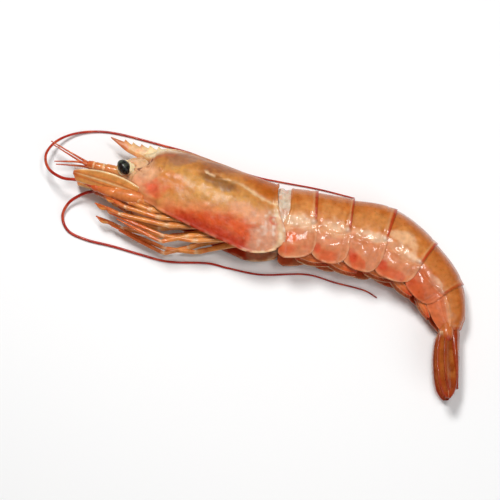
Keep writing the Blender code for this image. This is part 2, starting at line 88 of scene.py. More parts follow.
# Edges of the shells: how far down the notches between flaps end, the last segment's flap and taper,
# the carapace's rear lobe in mm, the first flap's reach under it in mm, and where that segment starts.
FLAP_NOTCH = 0.52
LAST_FLAP = 0.9
LAST_TAPER = 0.26
CARAPACE_REACH = 6.5
SIDE_REACH = 3.5
MEMBRANE_GAP = 0.42
# The chest grid, and the legs on it: name, root's place forward, length and angle of each of three
# parts, thickness, and whether it has a pincer.
CHEST_ORIGIN = np.array([-3.0, -0.3, 10.1])
CHEST_ANGLE = math.radians(158.0)
LEG_ROOT_DOWN = 8.5
LEG_ROOT_OUT = 2.6
LEG_SPREAD = (3.6, 5.6, 5.0, 3.6)
LEG_JOINT_RADII = (0.9, 0.72, 0.22)
FINGER_RADII = (0.62, 0.50, 0.14)
# Where the two knees lie among a leg's corners, and how many bristles of which length it has.
LEG_KNEES = (3.0, 5.0)
JAW_FOOT_BRISTLES = (110, 2.2)
LEG_BRISTLES = (16, 1.1)
LEGS = [
    ("jaw_foot", 33.0, ((14.0, 10.0), (8.0, -6.0), (7.0, -16.0)), 1.25, False),
    ("leg_1", 27.0, ((15.0, 16.0), (8.0, 0.0), (9.0, -14.0)), 1.05, True),
    ("leg_2", 21.5, ((17.0, 19.0), (12.0, 4.0), (9.0, -8.0)), 1.0, True),
    ("leg_3", 16.0, ((19.0, 22.0), (17.0, 8.0), (10.0, -4.0)), 1.0, True),
    ("leg_4", 10.7, ((17.0, 29.0), (9.0, 33.0), (18.0, -6.0)), 0.95, False),
    ("leg_5", 5.5, ((19.0, 27.0), (11.0, 12.0), (21.0, -2.0)), 0.95, False),
]
LEG_DROOP_RIGHT = 6.0
# The rostrum's lower and upper edge as (forward, down), and its row of teeth.
ROSTRUM_LOWER = [(26.0, -10.0), (38.0, -8.2), (46.0, -5.0), (52.0, -4.2), (58.0, -4.9), (65.0, -7.5)]
ROSTRUM_CREST = [(26.0, -12.4), (30.0, -13.0), (40.0, -11.8), (48.0, -9.6), (56.0, -8.0), (65.0, -7.9)]
ROSTRUM_TEETH = 9
ROSTRUM_THICK = 0.80
ROSTRUM_TOOTH = 3.0
ROSTRUM_TOOTH_RISE = 1.3
ROSTRUM_FIRST_TOOTH = 32.9

# The head's pieces as (forward, down, out) on the chest grid, and the radii along them.
BROW = [(41.0, 0.4, 0.0), (48.0, 0.8, 0.0), (53.0, 1.6, 0.0), (57.0, 3.4, 0.0)]
BROW_RADII = (6.8, 6.7, 5.4, 2.6)
JAW = [(33.0, 6.8, 1.4), (39.0, 9.2, 2.2), (46.0, 10.6, 2.0), (51.0, 10.4, 0.9)]
JAW_RADII = (2.2, 3.0, 3.0, 2.5, 0.9)
PALPS = [
    [(35.5, 8.2, 2.6), (37.0, 12.2, 2.4), (41.5, 12.9, 1.7), (45.5, 11.4, 0.7)],
    [(39.5, 9.4, 2.6), (41.0, 13.4, 2.4), (46.0, 14.1, 1.7), (50.5, 12.6, 0.7)],
]
PALP_RADII = (1.1, 1.2, 0.95, 0.4)
EYE_STALK = [(49.5, 1.2, 1.8), (52.0, 1.0, 3.4), (54.6, 1.5, 5.2)]
EYE_STALK_RADII = (1.7, 1.9, 2.5)
EYE_PLACE = (55.6, 1.9, 6.0)
EYE_RADIUS = 2.9
EYE_SQUASH = (0.80, 1.0, 0.84)
EYE_TURN = math.radians(57.0)
# The rim round the eye, as (ahead, below, inward) from the eye's middle.
EYE_RIM = [(-2.6, 0.0, 0.9), (0.0, 2.2, 1.9), (2.2, 0.0, 1.6), (0.0, -2.6, 1.6), (-2.6, 0.0, 0.9)]
EYE_RIM_THICK = 0.55
ANTENNULE = [(50.0, 1.6, 2.2), (58.0, 3.4, 2.6), (64.0, 4.3, 2.6), (68.4, 4.8, 2.5)]
ANTENNULE_RADII = (1.95, 1.9, 1.75, 1.8, 1.45, 1.5, 1.15)
WHIPS = [
    ("upper", [(67.0, 4.7, 2.5), (72.0, 4.05, 3.0), (84.0, 2.0, 2.2)]),
    ("lower", [(67.0, 4.7, 2.5), (72.0, 5.65, 3.0), (80.0, 8.4, 2.2)]),
]
ANTENNA = [(45.0, 9.6, 4.6), (53.0, 11.2, 4.6), (60.5, 11.8, 3.4), (64.0, 12.0, 3.2)]
ANTENNA_RADII = (2.3, 2.6, 2.1, 2.0, 1.5, 1.4, 0.8)
SCALE_ROOT = (47.5, 8.4, 5.4)
SCALE_TIP = (71.0, 9.6, 5.6)
SCALE_SIZE = (24.0, 8.2, 1.1)
SCALE_TILT = math.radians(42.0)

# The long feelers: root on the chest grid, then for each one the given points of its bend, and
# stations with its gap to the body's edge, where it lies on the surface.
FEELER_ROOT = (63.0, 12.0, 3.2)
FEELER_LOW = 0.62
FEELERS = [
    (1, "left", [
        (-71.5, 14.6, 13.5), (-77.5, 15.8, 12.5), (-82.5, 19.6, 10.5), (-84.0, 25.4, 7.6),
        (-81.0, 31.0, 4.4), (-75.0, 34.6, 1.8), (-67.0, 35.9, 0.62), (-58.0, 34.9, 0.62),
    ], [(1.3, 5.2), (2.2, 3.0), (3.0, 2.2), (4.0, 2.4), (5.0, 3.6), (6.0, 3.2), (7.0, 2.6)]),
    (-1, "right", [
        (-70.5, 11.6, 5.0), (-75.8, 8.8, 3.0), (-78.2, 4.0, 1.4), (-76.0, -1.2, 0.62),
        (-69.5, -4.4, 0.62), (-60.0, -6.8, 0.62), (-50.0, -9.8, 0.62), (-40.0, -12.4, 0.62),
    ], [(3.7, 6.4), (4.3, 4.8), (5.0, 3.2), (6.0, 2.6), (7.0, 2.6), (8.0, 3.4), (8.6, 5.0)]),
]

# Swimmerets: stations from the segment's rear edge forward to the root, how much smaller each pair is
# than the one before, the paddle's length, width and thickness, and its slant in radians.
PADDLE_BACK = 0.42
PADDLE_SHRINK = 0.07
PADDLE_SIZE = (11.5, 3.6, 0.8)
PADDLE_LEAN = 0.20
PADDLE_ROLL = 1.05
PADDLE_STEM_RADII = (2.1, 2.35, 1.5)
# Tail fan: size of the middle plate, then each side blade's name, size, lean, height on the body,
# distance out and spread.
TELSON_SIZE = (23.0, 7.8, 4.2)
FAN_STEM_RADII = (2.3, 2.4, 2.3, 1.8, 0.5)
FAN_BLADES = [
    ("inner", (22.0, 7.6, 0.9), math.radians(42.0), 0.2, 2.5, 0.05),
    ("outer", (23.5, 8.8, 0.9), math.radians(62.0), -1.2, 3.7, 0.04),
]
SHELL_THICK = 0.45
# How far a bristle's tip sinks, as a share of its length.
HAIR_DROOP = 0.05

# Studio, in metres and watts: each lamp's name, place, power and size, then the camera.
FLOOR_SIZE = 6.0
FLOOR_COLOUR = (0.90, 0.90, 0.90, 1.0)
LAMPS = [
    ("key", (-0.10, 0.22, 0.55), 2.5, 0.14),
    ("fill", (0.35, -0.35, 0.45), 1.2, 0.5),
    ("strip", (0.10, 0.02, 0.60), 0.8, 0.08),
]
WORLD_COLOUR = (1.0, 0.98, 0.96, 1.0)
WORLD_STRENGTH = 0.14
CAMERA_ELEVATION = math.radians(79.0)
CAMERA_DISTANCE = 0.62
CAMERA_TARGET = np.array([-0.001, 0.004, 0.006])
CAMERA_LENS = 125.0
CAMERA_SENSOR = 36.0

# Colours as they show in daylight, red, green and blue out of 255.
BROWN = (182, 98, 40)
ORANGE = (220, 144, 80)
LIMB_RED = (196, 80, 44)
LIVER = (122, 84, 58)
GREY = (158, 116, 94)
RED = (198, 60, 26)
BORDER_RED = (174, 68, 40)
PINK = (218, 138, 104)
PALE = (236, 198, 156)
CREAM = (244, 220, 176)
MEMBRANE = (216, 188, 164)
WHITE = (248, 234, 216)
BLACK = (22, 18, 17)
FEELER_RED = (174, 56, 36)
BRISTLE = (214, 120, 84)
# White light that the film of water adds to every colour.
VEIL = 0.025


def linear(colour):
    """Scene colour of a display colour."""
    c = np.asarray(colour, dtype=float) / 255.0
    return np.maximum(np.where(c <= 0.04045, c / 12.92, ((c + 0.055) / 1.055) ** 2.4) - VEIL, 0.003)


def smooth(values, t):
    """Row at t on a Catmull-Rom curve through rows that lie at whole numbers."""
    last = len(values) - 1
    if t <= 0:
        return values[0] + (values[1] - values[0]) * t
    if t >= last:
        return values[last] + (values[last] - values[last - 1]) * (t - last)
    i = int(t)
    f = t - i
    before = values[i - 1] if i > 0 else 2 * values[0] - values[1]
    after = values[i + 2] if i + 2 <= last else 2 * values[last] - values[last - 1]
    a = -0.5 * before + 1.5 * values[i] - 1.5 * values[i + 1] + 0.5 * after
    b = before - 2.5 * values[i] + 2.0 * values[i + 1] - 0.5 * after
    c = 0.5 * (values[i + 1] - before)
    return ((a * f + b) * f + c) * f + values[i]


def body_frame(t):
    """Middle, tailward and backward directions, half depth and half width at station t."""
    x, y, lift, depth, width = smooth(STATIONS, t)
    change = smooth(STATIONS, t + 0.02) - smooth(STATIONS, t - 0.02)
    tail = np.array([change[0], change[1], 0.0])
    tail /= np.linalg.norm(tail)
    back = np.array([-tail[1], tail[0], 0.0])
    return np.array([x, y, lift]), tail, back, depth / 2, width / 2


def on_body(t, up, out, slide=0.0):
    """Point up towards the back and out to the left of the body line, slid tailward."""
    middle, tail, back, _, _ = body_frame(t)
    return middle + tail * slide + back * up + UP * out


AHEAD = np.array([math.cos(CHEST_ANGLE), math.sin(CHEST_ANGLE), 0.0])
BELOW = np.array([-AHEAD[1], AHEAD[0], 0.0])


def on_chest(forward, down, out):
    """Point on the chest grid."""
    return CHEST_ORIGIN + AHEAD * forward + BELOW * down + UP * out


def unit(vector):
    """The same direction, one long."""
    return vector / max(np.linalg.norm(vector), 1e-9)


def through(points, per_span):
    """Smooth points through given ones."""
    rows = np.array(points, dtype=float)
    spans = (len(rows) - 1) * per_span
    return np.array([smooth(rows, i / per_span) for i in range(spans + 1)])


def at_place(place, side):
    """Point at a (forward, down, out) place of the chest grid, on one side."""
    forward, down, out = place
    return on_chest(forward, down, side * out)


def chest_path(places, side, per_span):
    """Smooth path through places of the chest grid, on one side."""
    return through([at_place(place, side) for place in places], per_span)


def relax(values, rounds):
    """Round off the corners in a row of values, or of points, whose ends stay."""
    for _ in range(rounds):
        values[1:-1] = (values[:-2] + values[1:-1] * 2 + values[2:]) / 4
    return values


def step(low, high, x):
    """Smooth step from 0 at low to 1 at high."""
    f = np.clip((np.asarray(x, dtype=float) - low) / (high - low), 0.0, 1.0)
    return f * f * (3 - 2 * f)


def bell(x, width):
    """Smooth hump of height 1 round x = 0."""
    return np.exp(-(np.asarray(x) / width) ** 2)


def grain(points, size, seed=0):
    """Smooth noise from -1 to 1 at points in millimetres, with lumps of the given size."""
    q = np.asarray(points, dtype=float) / size + 31.7 * seed + 100.0
    cell = np.floor(q).astype(np.int64)
    f = q - cell
    f = f * f * (3 - 2 * f)
    total = np.zeros(q.shape[:-1])
    for corner in np.ndindex(2, 2, 2):
        k = cell + np.array(corner)
        mixed = k[..., 0] * 73856093 ^ k[..., 1] * 19349663 ^ k[..., 2] * 83492791 ^ seed * 2654435
        mixed = (mixed ^ (mixed >> 13)) * 1274126177
        value = ((mixed >> 7) & 65535) / 32767.5 - 1.0
        weight = np.ones(q.shape[:-1])
        for axis in range(3):
            weight = weight * (f[..., axis] if corner[axis] else 1 - f[..., axis])
        total += value * weight
    return total


def path_distance(a, b, path):
    """Distance in the plane from points (a, b) to an open path."""
    best = np.full(np.shape(a), 1e9)
    for (a0, b0), (a1, b1) in zip(path, path[1:]):
        da, db = a1 - a0, b1 - b0
        f = np.clip(((a - a0) * da + (b - b0) * db) / (da * da + db * db), 0, 1)
        best = np.minimum(best, np.hypot(a - a0 - f * da, b - b0 - f * db))
    return best


class Paint:
    """Colour at every point of a piece, built up in layers."""

    def __init__(self, points, colour):
        self.points = points
        self.rgb = np.broadcast_to(linear(colour), points.shape).copy()

    def layer(self, colour, weight):
        """Cover what is there, fully where the weight is 1."""
        weight = np.clip(weight, 0, 1)[..., None]
        self.rgb += (linear(colour) - self.rgb) * weight

    def mottle(self, colour, low, high, size, seed, weight):
        """Colour where noise with lumps of the given size rises from low to high."""
        self.layer(colour, step(low, high, grain(self.points, size, seed)) * weight)


class SidePaint(Paint):
    """Paint of a body shell, whose points have a station and a share of the way down the side."""

    def __init__(self, grid, t, share, colour):
        super().__init__(grid, colour)
        self.t, self.share = t, share

    def patch(self, colour, at, size, seed, weight, ragged=0.35):
        """Soft-edged blotch, ragged by noise; at and size are station and share."""
        d = np.hypot((self.t - at[0]) / size[0], (self.share - at[1]) / size[1])
        d = d + ragged * grain(self.points, 4.5, seed) + 0.5 * ragged * grain(self.points, 1.6, seed + 1)
        self.layer(colour, (1 - step(0.45, 1.15, d)) * weight)


def add_object(name, data):
    obj = bpy.data.objects.new(name, data)
    bpy.context.scene.collection.objects.link(obj)
    return obj


def mesh_piece(name, points, faces, colours, material):
    """Mesh of a piece, from guide millimetres, kept inside the solid's box."""
    mesh = bpy.data.meshes.new(name)
    flat = np.clip((np.asarray(points).reshape(-1, 3) + GUIDE_SHIFT) * MM, CAD_LOW, CAD_HIGH)
    mesh.from_pydata(flat.tolist(), [], faces)
    tint = mesh.color_attributes.new("tint", "FLOAT_COLOR", "POINT")
    rgba = np.ones((len(flat), 4))
    rgba[:, :3] = np.asarray(colours).reshape(-1, 3)
    tint.data.foreach_set("color", rgba.astype(np.float32).ravel())
    mesh.materials.append(material)
    mesh.update()
    mesh.shade_smooth()
    obj = add_object(name, mesh)
    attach(obj, "root")
    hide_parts("prawn")
    return obj


def grid_faces(rows, columns, closed=False):
    """Squares of a grid of points, whose rows are rings where it is closed."""
    faces = []
    span = columns if closed else columns - 1
    for i in range(rows - 1):
        for j in range(span):
            k = (j + 1) % columns
            faces.append((i * columns + j, i * columns + k, (i + 1) * columns + k, (i + 1) * columns + j))
    return faces


def sheet_piece(name, grid, paint, material, thick=SHELL_THICK):
    """Thin shell on an open grid of outer points."""
    obj = mesh_piece(name, grid, grid_faces(*grid.shape[:2]), paint.rgb, material)
    solid = obj.modifiers.new("wall", "SOLIDIFY")
    solid.thickness = thick * MM
    solid.offset = -1.0
    solid.use_even_offset = False


def closed_piece(name, rings, paint, material):
    """Closed surface through rings of points, with a middle point in each end."""
    count, sides = rings.shape[:2]
    points = np.concatenate([rings.reshape(-1, 3), rings[0].mean(0)[None], rings[-1].mean(0)[None]])
    rgb = paint.rgb
    tints = np.concatenate([rgb.reshape(-1, 3), rgb[0].mean(0)[None], rgb[-1].mean(0)[None]])
    faces = grid_faces(count, sides, closed=True)
    first, last = count * sides, count * sides + 1
    for j in range(sides):
        k = (j + 1) % sides
        faces.append((first, k, j))
        faces.append((last, (count - 1) * sides + j, (count - 1) * sides + k))
    mesh_piece(name, points, faces, tints, material)


def ring_frames(path):
    """Two directions across a path at each point, carried along it without twisting."""
    ahead = np.gradient(path, axis=0)
    ahead /= np.linalg.norm(ahead, axis=1)[:, None]
    side = np.zeros_like(path)
    start = np.cross(ahead[0], UP)
    side[0] = unit(start if np.linalg.norm(start) > 0.2 else np.cross(ahead[0], [1.0, 0.0, 0.0]))
    for i in range(1, len(path)):
        side[i] = unit(side[i - 1] - ahead[i] * np.dot(side[i - 1], ahead[i]))
    return side, np.cross(ahead, side)


def full_turn(count):
    """Even angles round a circle."""
    return np.linspace(0, 2 * math.pi, count, endpoint=False)


def limb_rings(path, radii, sides, flat=1.0):
    """Round rings along a path, with a radius for each point; flat squeezes them upward."""
    side, rise = ring_frames(path)
    turn = full_turn(sides)
    ring = side[:, None] * np.cos(turn)[None, :, None] + rise[:, None] * np.sin(turn)[None, :, None] * flat
    return path[:, None] + ring * np.asarray(radii)[:, None, None]


def fill(values, count):
    """Values given at even steps, read at count even steps."""
    rows = np.array(values, dtype=float)
    return np.array([smooth(rows[:, None], i / (count - 1) * (len(rows) - 1))[0] for i in range(count)])


def limb(path, radii, sides, flat=1.0):
    """Round rings along a path, from radii given at even steps."""
    return limb_rings(path, fill(radii, len(path)), sides, flat)


def roughen(rings, height, size, seed, way=UP):
    """Rings with their points pushed to and fro by noise."""
    return rings + height * grain(rings, size, seed)[..., None] * way


def hairs(name, roots, ways, lengths, width, colour):
    """Fine bristles in one mesh, each a three-sided spike with one bend."""
    points, faces = [], []
    for root, way, length in zip(roots, ways, lengths):
        way = unit(np.asarray(way, dtype=float))
        across = unit(np.cross(way, UP + 0.01))
        third = np.cross(way, across)
        bend = root + way * length * 0.55
        tip = root + way * length - UP * HAIR_DROOP * length
        base = len(points)
        for centre, radius in ((root, width), (bend, width * 0.7)):
            for k in range(3):
                angle = 2 * math.pi * k / 3
                points.append(centre + (across * math.cos(angle) + third * math.sin(angle)) * radius)
        points.append(tip)
        faces.append((base + 2, base + 1, base))
        for k in range(3):
            j = (k + 1) % 3
            faces.append((base + k, base + j, base + 3 + j, base + 3 + k))
            faces.append((base + 3 + k, base + 3 + j, base + 6))
    tints = np.broadcast_to(linear(colour), (len(points), 3))
    mesh_piece(name, np.array(points), faces, tints, bristle)


def set_sockets(node, sockets):
    """Give each named socket its value, or link it to the output that feeds it."""
    for name, source in sockets.items():
        if isinstance(source, bpy.types.NodeSocket):
            node.id_data.links.new(source, node.inputs[name])
        else:
            node.inputs[name].default_value = source


def wet_material(name, rough=0.34, wet=0.8, bump=0.5, lump=1.6, fleck=0.25, glow=0.14, fleck_size=0.55,
                 fleck_colour=(196, 70, 34), film_rough=0.09):
    """Wet shell: painted tint with fine mottling and flecks, a film of water and a soft inner glow."""
    made = bpy.data.materials.new(name)
    made.use_nodes = True
    nodes = made.node_tree.nodes
    place = nodes.new("ShaderNodeTexCoord")
    tint = nodes.new("ShaderNodeAttribute")
    tint.attribute_name = "tint"

    def add(kind, sockets):
        node = nodes.new(kind)
        set_sockets(node, sockets)
        return node

    def noise(size, detail, rough_part=0.55):
        return add("ShaderNodeTexNoise", {
            "Vector": place.outputs["Object"],
            "Scale": 1.0 / (size * MM), "Detail": detail, "Roughness": rough_part,
        }).outputs["Fac"]

    def remap(source, low, high, to_low, to_high):
        return add("ShaderNodeMapRange", {
            "Value": source, "From Min": low, "From Max": high, "To Min": to_low, "To Max": to_high,
        }).outputs["Result"]

    def bumps(strength, distance, height):
        return add("ShaderNodeBump", {"Strength": strength, "Distance": distance * MM, "Height": height})

    def mixed(kind, factor, first, second):
        node = nodes.new("ShaderNodeMix")
        node.data_type = "RGBA"
        node.blend_type = kind
        set_sockets(node, {"Factor": factor, "A": first, "B": second})
        return node.outputs["Result"]

    level = remap(noise(2.2, 4.0), 0.3, 0.7, 0.80, 1.14)
    shade = add("ShaderNodeCombineColor", {"Red": level, "Green": level, "Blue": level})
    colour = mixed("MULTIPLY", 1.0, tint.outputs["Color"], shade.outputs["Color"])
    spot = remap(noise(fleck_size, 2.0, 0.7), 0.56, 0.70, 0.0, fleck)
    coarse = bumps(bump, 0.30, noise(lump, 3.0))
    fine = bumps(bump * 0.8, 0.06, noise(0.35, 2.0))
    set_sockets(fine, {"Normal": coarse.outputs["Normal"]})
    set_sockets(nodes["Principled BSDF"], {
        "Base Color": mixed("MIX", spot, colour, (*linear(fleck_colour), 1.0)),
        "Roughness": remap(noise(1.1, 3.0), 0.3, 0.7, rough - 0.10, rough + 0.12),
        "Normal": fine.outputs["Normal"],
        "Specular IOR Level": 0.2,
        "Coat Weight": remap(noise(3.5, 2.0), 0.35, 0.65, wet * 0.55, wet),
        "Coat Roughness": film_rough,
        "Coat IOR": 1.34,
        "Subsurface Weight": glow,
        "Subsurface Radius": (1.0, 0.45, 0.22),
        "Subsurface Scale": 2.2 * MM,
    })
    return made


shell = wet_material("wet_shell", fleck=0.28)
chest_shell = wet_material("chest_shell", rough=0.40, wet=0.3, bump=0.6, fleck=0.22, film_rough=0.19)
crest_shell = wet_material("crest_shell", rough=0.45, wet=0.25, bump=0.3, lump=0.8, fleck=0.15,
                           film_rough=0.2)
skin = wet_material("wet_skin", rough=0.30, bump=0.8, lump=1.0, fleck=0.08, glow=0.3)
limb_shell = wet_material("limb_shell", rough=0.32, bump=0.35, lump=0.8, fleck=0.25, fleck_size=0.4)
fan_shell = wet_material("fan_shell", rough=0.30, bump=0.4, lump=0.9, fleck=0.3, fleck_size=0.4)
feeler_skin = wet_material("feeler_skin", rough=0.36, wet=0.6, bump=0.3, lump=0.4, fleck=0.2,
                           fleck_size=0.5, glow=0.05)
bristle = wet_material("bristle", rough=0.5, wet=0.2, bump=0.1, fleck=0.1, glow=0.0)
eye_skin = wet_material("eye_skin", rough=0.3, wet=0.5, bump=0.2, lump=0.3, fleck=0.5, glow=0.0,
                        fleck_size=0.5, fleck_colour=(84, 92, 84), film_rough=0.16)


def flank(share, half_depth, half_width, drop):
    """Side outline from the back (share 0) to the flap's tip (share 1): up and out."""
    turn = np.minimum(share / FLAP_START, 1.0) * math.pi / 2
    fall = np.clip((share - FLAP_START) / (1 - FLAP_START), 0, None)
    out = half_width * np.sin(turn) ** 0.92 * (1 - FLAP_TUCK * fall ** 2)
    up = half_depth * (WIDEST_UP + (1 - WIDEST_UP) * np.cos(turn) - (WIDEST_UP + drop) * fall)
    return up, out, turn


def skin_grid(stations, sides, shape):
    """Outer points of a body shell, and each one's station, share and side.

    shape(t, share) gives the section's scale, the flaps' drop, the slide tailward and the relief.
    """
    v = np.linspace(-1, 1, sides)
    share, side = np.abs(v), np.sign(v)
    grid = np.zeros((len(stations), sides, 3))
    for i, t in enumerate(stations):
        middle, tail, back, half_depth, half_width = body_frame(t)
        scale, drop, slide, relief = shape(t, share)
        up, out, turn = flank(share, half_depth * scale, half_width * scale, drop)
        lean = np.stack([np.cos(turn) * half_width, np.sin(turn) * half_depth])
        lean /= np.linalg.norm(lean, axis=0)
        up += lean[0] * relief
        out += lean[1] * relief
        grid[i] = middle + slide[:, None] * tail + up[:, None] * back + (out * side)[:, None] * UP
    t_grid, v_grid = np.meshgrid(stations, v, indexing="ij")
    return grid, t_grid, np.abs(v_grid), np.sign(v_grid)


def press_down(grid):
    """Flatten what would reach below the surface that the prawn lies on."""
    grid[..., 2] = np.maximum(grid[..., 2], 0.0)
    return grid


# Creases and seams of the carapace, as station and share of the way down the side.
GILL_LINE = [(1.9, 0.50), (2.6, 0.45), (3.1, 0.41), (3.8, 0.39), (4.4, 0.46), (5.0, 0.49)]
NECK_LINE = [(2.9, 0.06), (2.5, 0.22), (2.1, 0.36), (1.8, 0.50), (1.3, 0.60)]
CHEEK_LINE = [(0.1, 0.58), (0.9, 0.62), (1.5, 0.62), (2.0, 0.66), (2.7, 0.68)]
CREST_LINE = [(0.3, 0.36), (1.0, 0.35), (1.9, 0.28)]
# Upper edge of the red patch over the gills, and the dark dots behind the eye, partly painted shade.
RED_TOP = [(2.0, 0.96), (2.6, 0.89), (3.2, 0.80), (3.8, 0.765), (4.6, 0.745)]
EYE_SIDE_DOTS = [(0.5, 0.42), (0.3, 0.56), (0.75, 0.36)]
# Millimetres over the shell for one station, and for the whole way down a side.
STATION_MM = 11.5
SHARE_MM = 33.0


def crease(t, share, line):
    """Distance in millimetres over the shell to a crease."""
    path = [(a * STATION_MM, b * SHARE_MM) for a, b in line]
    return path_distance(t * STATION_MM, share * SHARE_MM, path)


def streaks(t, share, seed):
    """Noise drawn out down the side, as in the skin below the shell."""
    place = np.stack([t * STATION_MM, share * SHARE_MM * 0.22, np.zeros_like(t)], axis=-1)
    return grain(place, 1.1, 70 + seed)


def carapace_slide(t, share):
    """Tailward shift of the carapace: eye socket and spines in front, a broad lobe behind."""
    socket = 2.6 * bell(share - 0.36, 0.14)
    spine = -1.8 * bell(share - 0.56, 0.04)
    corner = -1.2 * bell(share - 0.80, 0.15)
    lobe = CARAPACE_REACH * np.sin(math.pi * np.minimum(share, 0.98) ** 3.0 * 0.82) ** 1.2
    return (t / CARAPACE_REAR) ** 6 * lobe + max(0.0, 1 - t / 1.6) ** 2 * (socket + spine + corner)


def carapace_shape(t, share):
    """Section of the carapace, with its creases, crest, one spine on the side and raised margins."""
    round_off = 0.26 * max(0.0, (t - 4.4) / 0.6) ** 2
    lift_front = 0.10 * max(0.0, 1 - t / 1.2)
    drop = 1.0 - round_off - lift_front
    scale = 1.0 + 0.035 * max(0.0, (t - 4.5) / 0.5) ** 2
    ones = np.full_like(share, t)
    relief = -0.30 * bell(crease(ones, share, GILL_LINE), 1.0) * step(2.2, 3.4, ones)
    relief -= 0.12 * bell(crease(ones, share, NECK_LINE), 1.8)
    relief -= 0.08 * bell(crease(ones, share, CHEEK_LINE), 1.6)
    relief += 0.9 * bell(share, 0.045) * step(4.6, 2.4, t)
    relief += 1.1 * bell(np.hypot((t - 1.62) * STATION_MM, (share - 0.54) * SHARE_MM), 0.8)
    relief -= 0.30 * bell((t - 4.86) * STATION_MM, 0.8)
    relief += 0.12 * step(0.965, 0.985, share)
    return scale, drop, carapace_slide(t, share), relief


def carapace():
    """The head shield: orange and tan, with grey-brown blotches and a red patch over the gills."""
    stations = np.concatenate([np.linspace(0, 4.4, 138), np.linspace(4.42, 5.0, 42)])
    grid, t, share, side = skin_grid(stations, 261, carapace_shape)
    wave = 0.18 * grain(grid, 5.0, 3) + 0.08 * grain(grid, 1.7, 4)
    grid[..., 2] += wave * side * np.minimum(share / 0.4, 1)
    grid = press_down(grid)
    sheet_piece("carapace", grid, carapace_paint(grid, t, share), chest_shell, 0.5)


def carapace_paint(grid, t, share):
    p = SidePaint(grid, t, share, (200, 136, 78))
    blotch = grain(grid, 3.2, 9)
    scratch = grain(grid, 1.3, 24)
    streak = streaks(t, share, 1)
    p.patch((206, 148, 78), (3.0, 0.56), (1.5, 0.17), 11, 0.85)
    p.patch((172, 110, 62), (2.75, 0.24), (0.5, 0.24), 12, 0.7)
    p.patch(GREY, (2.1, 0.26), (0.5, 0.18), 13, 0.75, 0.6)
    p.patch((148, 94, 68), (3.25, 0.27), (0.5, 0.22), 14, 0.75, 0.6)
    p.patch(LIVER, (3.25, 0.47), (0.5, 0.08), 15, 0.7, 0.4)
    p.patch(BROWN, (4.7, 0.14), (1.25, 0.34), 16, 0.95, 0.2)
    # Brown along the back edge: partly the shell's own brown, partly painted shade.
    p.layer(BROWN, step(0.16, 0.0, share + 0.04 * blotch) * step(1.8, 2.4, t) * 0.6)
    p.patch((208, 124, 62), (2.1, 0.64), (0.6, 0.13), 17, 0.8, 0.5)
    p.patch((208, 124, 62), (1.3, 0.56), (0.5, 0.10), 28, 0.6, 0.5)
    p.patch(CREAM, (0.95, 0.05), (1.1, 0.30), 27, 0.85, 0.2)
    # Broad dark band round the crest line: painted shade under the crest. The narrow line after it is the
    # shell's own dark line.
    p.layer((160, 98, 66), bell(crease(t, share, CREST_LINE), 3.0) * 0.55)
    p.layer((186, 92, 60), bell(crease(t, share, CREST_LINE), 1.1) * 0.5)
    p.patch((214, 160, 122), (0.2, 0.56), (0.85, 0.34), 21, 0.85, 0.4)
    p.patch((226, 150, 114), (0.9, 0.76), (1.1, 0.16), 32, 0.7, 0.4)
    p.patch((236, 178, 138), (0.9, 0.60), (0.9, 0.12), 31, 0.7, 0.4)
    p.patch((172, 110, 74), (0.3, 0.50), (0.8, 0.30), 29, step(0.0, 0.5, scratch) * 0.6, 0.4)
    # Dark dots behind the eye: partly dark spots, partly painted shade in the socket's notches.
    for at in EYE_SIDE_DOTS:
        spot = np.hypot((t - at[0]) * STATION_MM, (share - at[1]) * SHARE_MM) + 0.5 * scratch
        p.layer((84, 48, 36), (1 - step(0.7, 1.5, spot)) * 0.75)
    p.patch((224, 100, 70), (1.4, 0.79), (0.66, 0.12), 18, 0.9, 0.5)
    # Darker brown lower front margin: painted shade from the legs.
    p.patch((192, 108, 74), (0.9, 0.97), (1.3, 0.08), 20, 0.75, 0.3)
    top = np.interp(t, *zip(*RED_TOP)) + 0.025 * blotch + 0.02 * scratch
    rear = step(4.85, 4.45, t + 0.12 * blotch)
    red = step(-0.03, 0.06, share - top) * step(2.0, 2.8, t + 0.2 * scratch) * rear
    fringe_red = step(-0.13, 0.02, share - top) * step(1.7, 2.4, t) * step(5.0, 4.5, t + 0.12 * blotch)
    p.layer((220, 128, 84), fringe_red * 0.85)
    p.layer((206, 84, 36), red * 0.9)
    p.layer((218, 122, 74), red * step(0.1, 0.7, scratch + 0.6 * blotch) * 0.45)
    p.layer((170, 58, 16), step(0.84, 0.95, share + 0.03 * blotch) * red * 0.8)
    p.patch((230, 160, 122), (4.2, 0.655), (0.6, 0.07), 33, 0.6, 0.5)
    p.patch((206, 146, 116), (4.95, 0.76), (0.6, 0.30), 22, 0.95, 0.35)
    # Whitish blotches on the pale rear part: partly pale shell, partly painted highlight.
    p.patch(WHITE, (4.95, 0.72), (0.5, 0.24), 23, step(0.0, 0.7, scratch) * 0.5, 0.6)
    ring = np.hypot((t - 4.85) * STATION_MM, (share - 0.66) * SHARE_MM)
    p.layer((200, 84, 66), bell(ring - 1.1, 0.35) * 0.6)
    line = bell(crease(t, share, GILL_LINE) + 0.35 * scratch, 0.6) * step(3.4, 3.9, t)
    p.layer((240, 204, 160), line * (0.65 + 0.3 * blotch))
    # Whitish flecks on the gill line: painted glints.
    painted_glints = bell((share - 0.40) * SHARE_MM + 1.2 * blotch, 0.7) * step(2.7, 2.9, t) * step(3.7, 3.5, t)
    p.layer((240, 206, 164), painted_glints * step(-0.1, 0.4, scratch) * 0.8)
    p.layer(CREAM, bell((t - 4.93) * STATION_MM, 0.55) * step(0.35, 0.6, share) * 0.5)
    p.layer((150, 84, 48), step(0.1, 0.8, streak) * step(0.62, 0.5, share) * 0.30)
    edge = step(0.97, 0.99, share) * step(-0.3, 0.5, scratch)
    p.layer(CREAM, edge * (0.15 + 0.45 * step(4.0, 4.8, t)))
    return p


def segment_start(number):
    """Station of the front edge of a tail segment."""
    return CARAPACE_REAR + number - 1


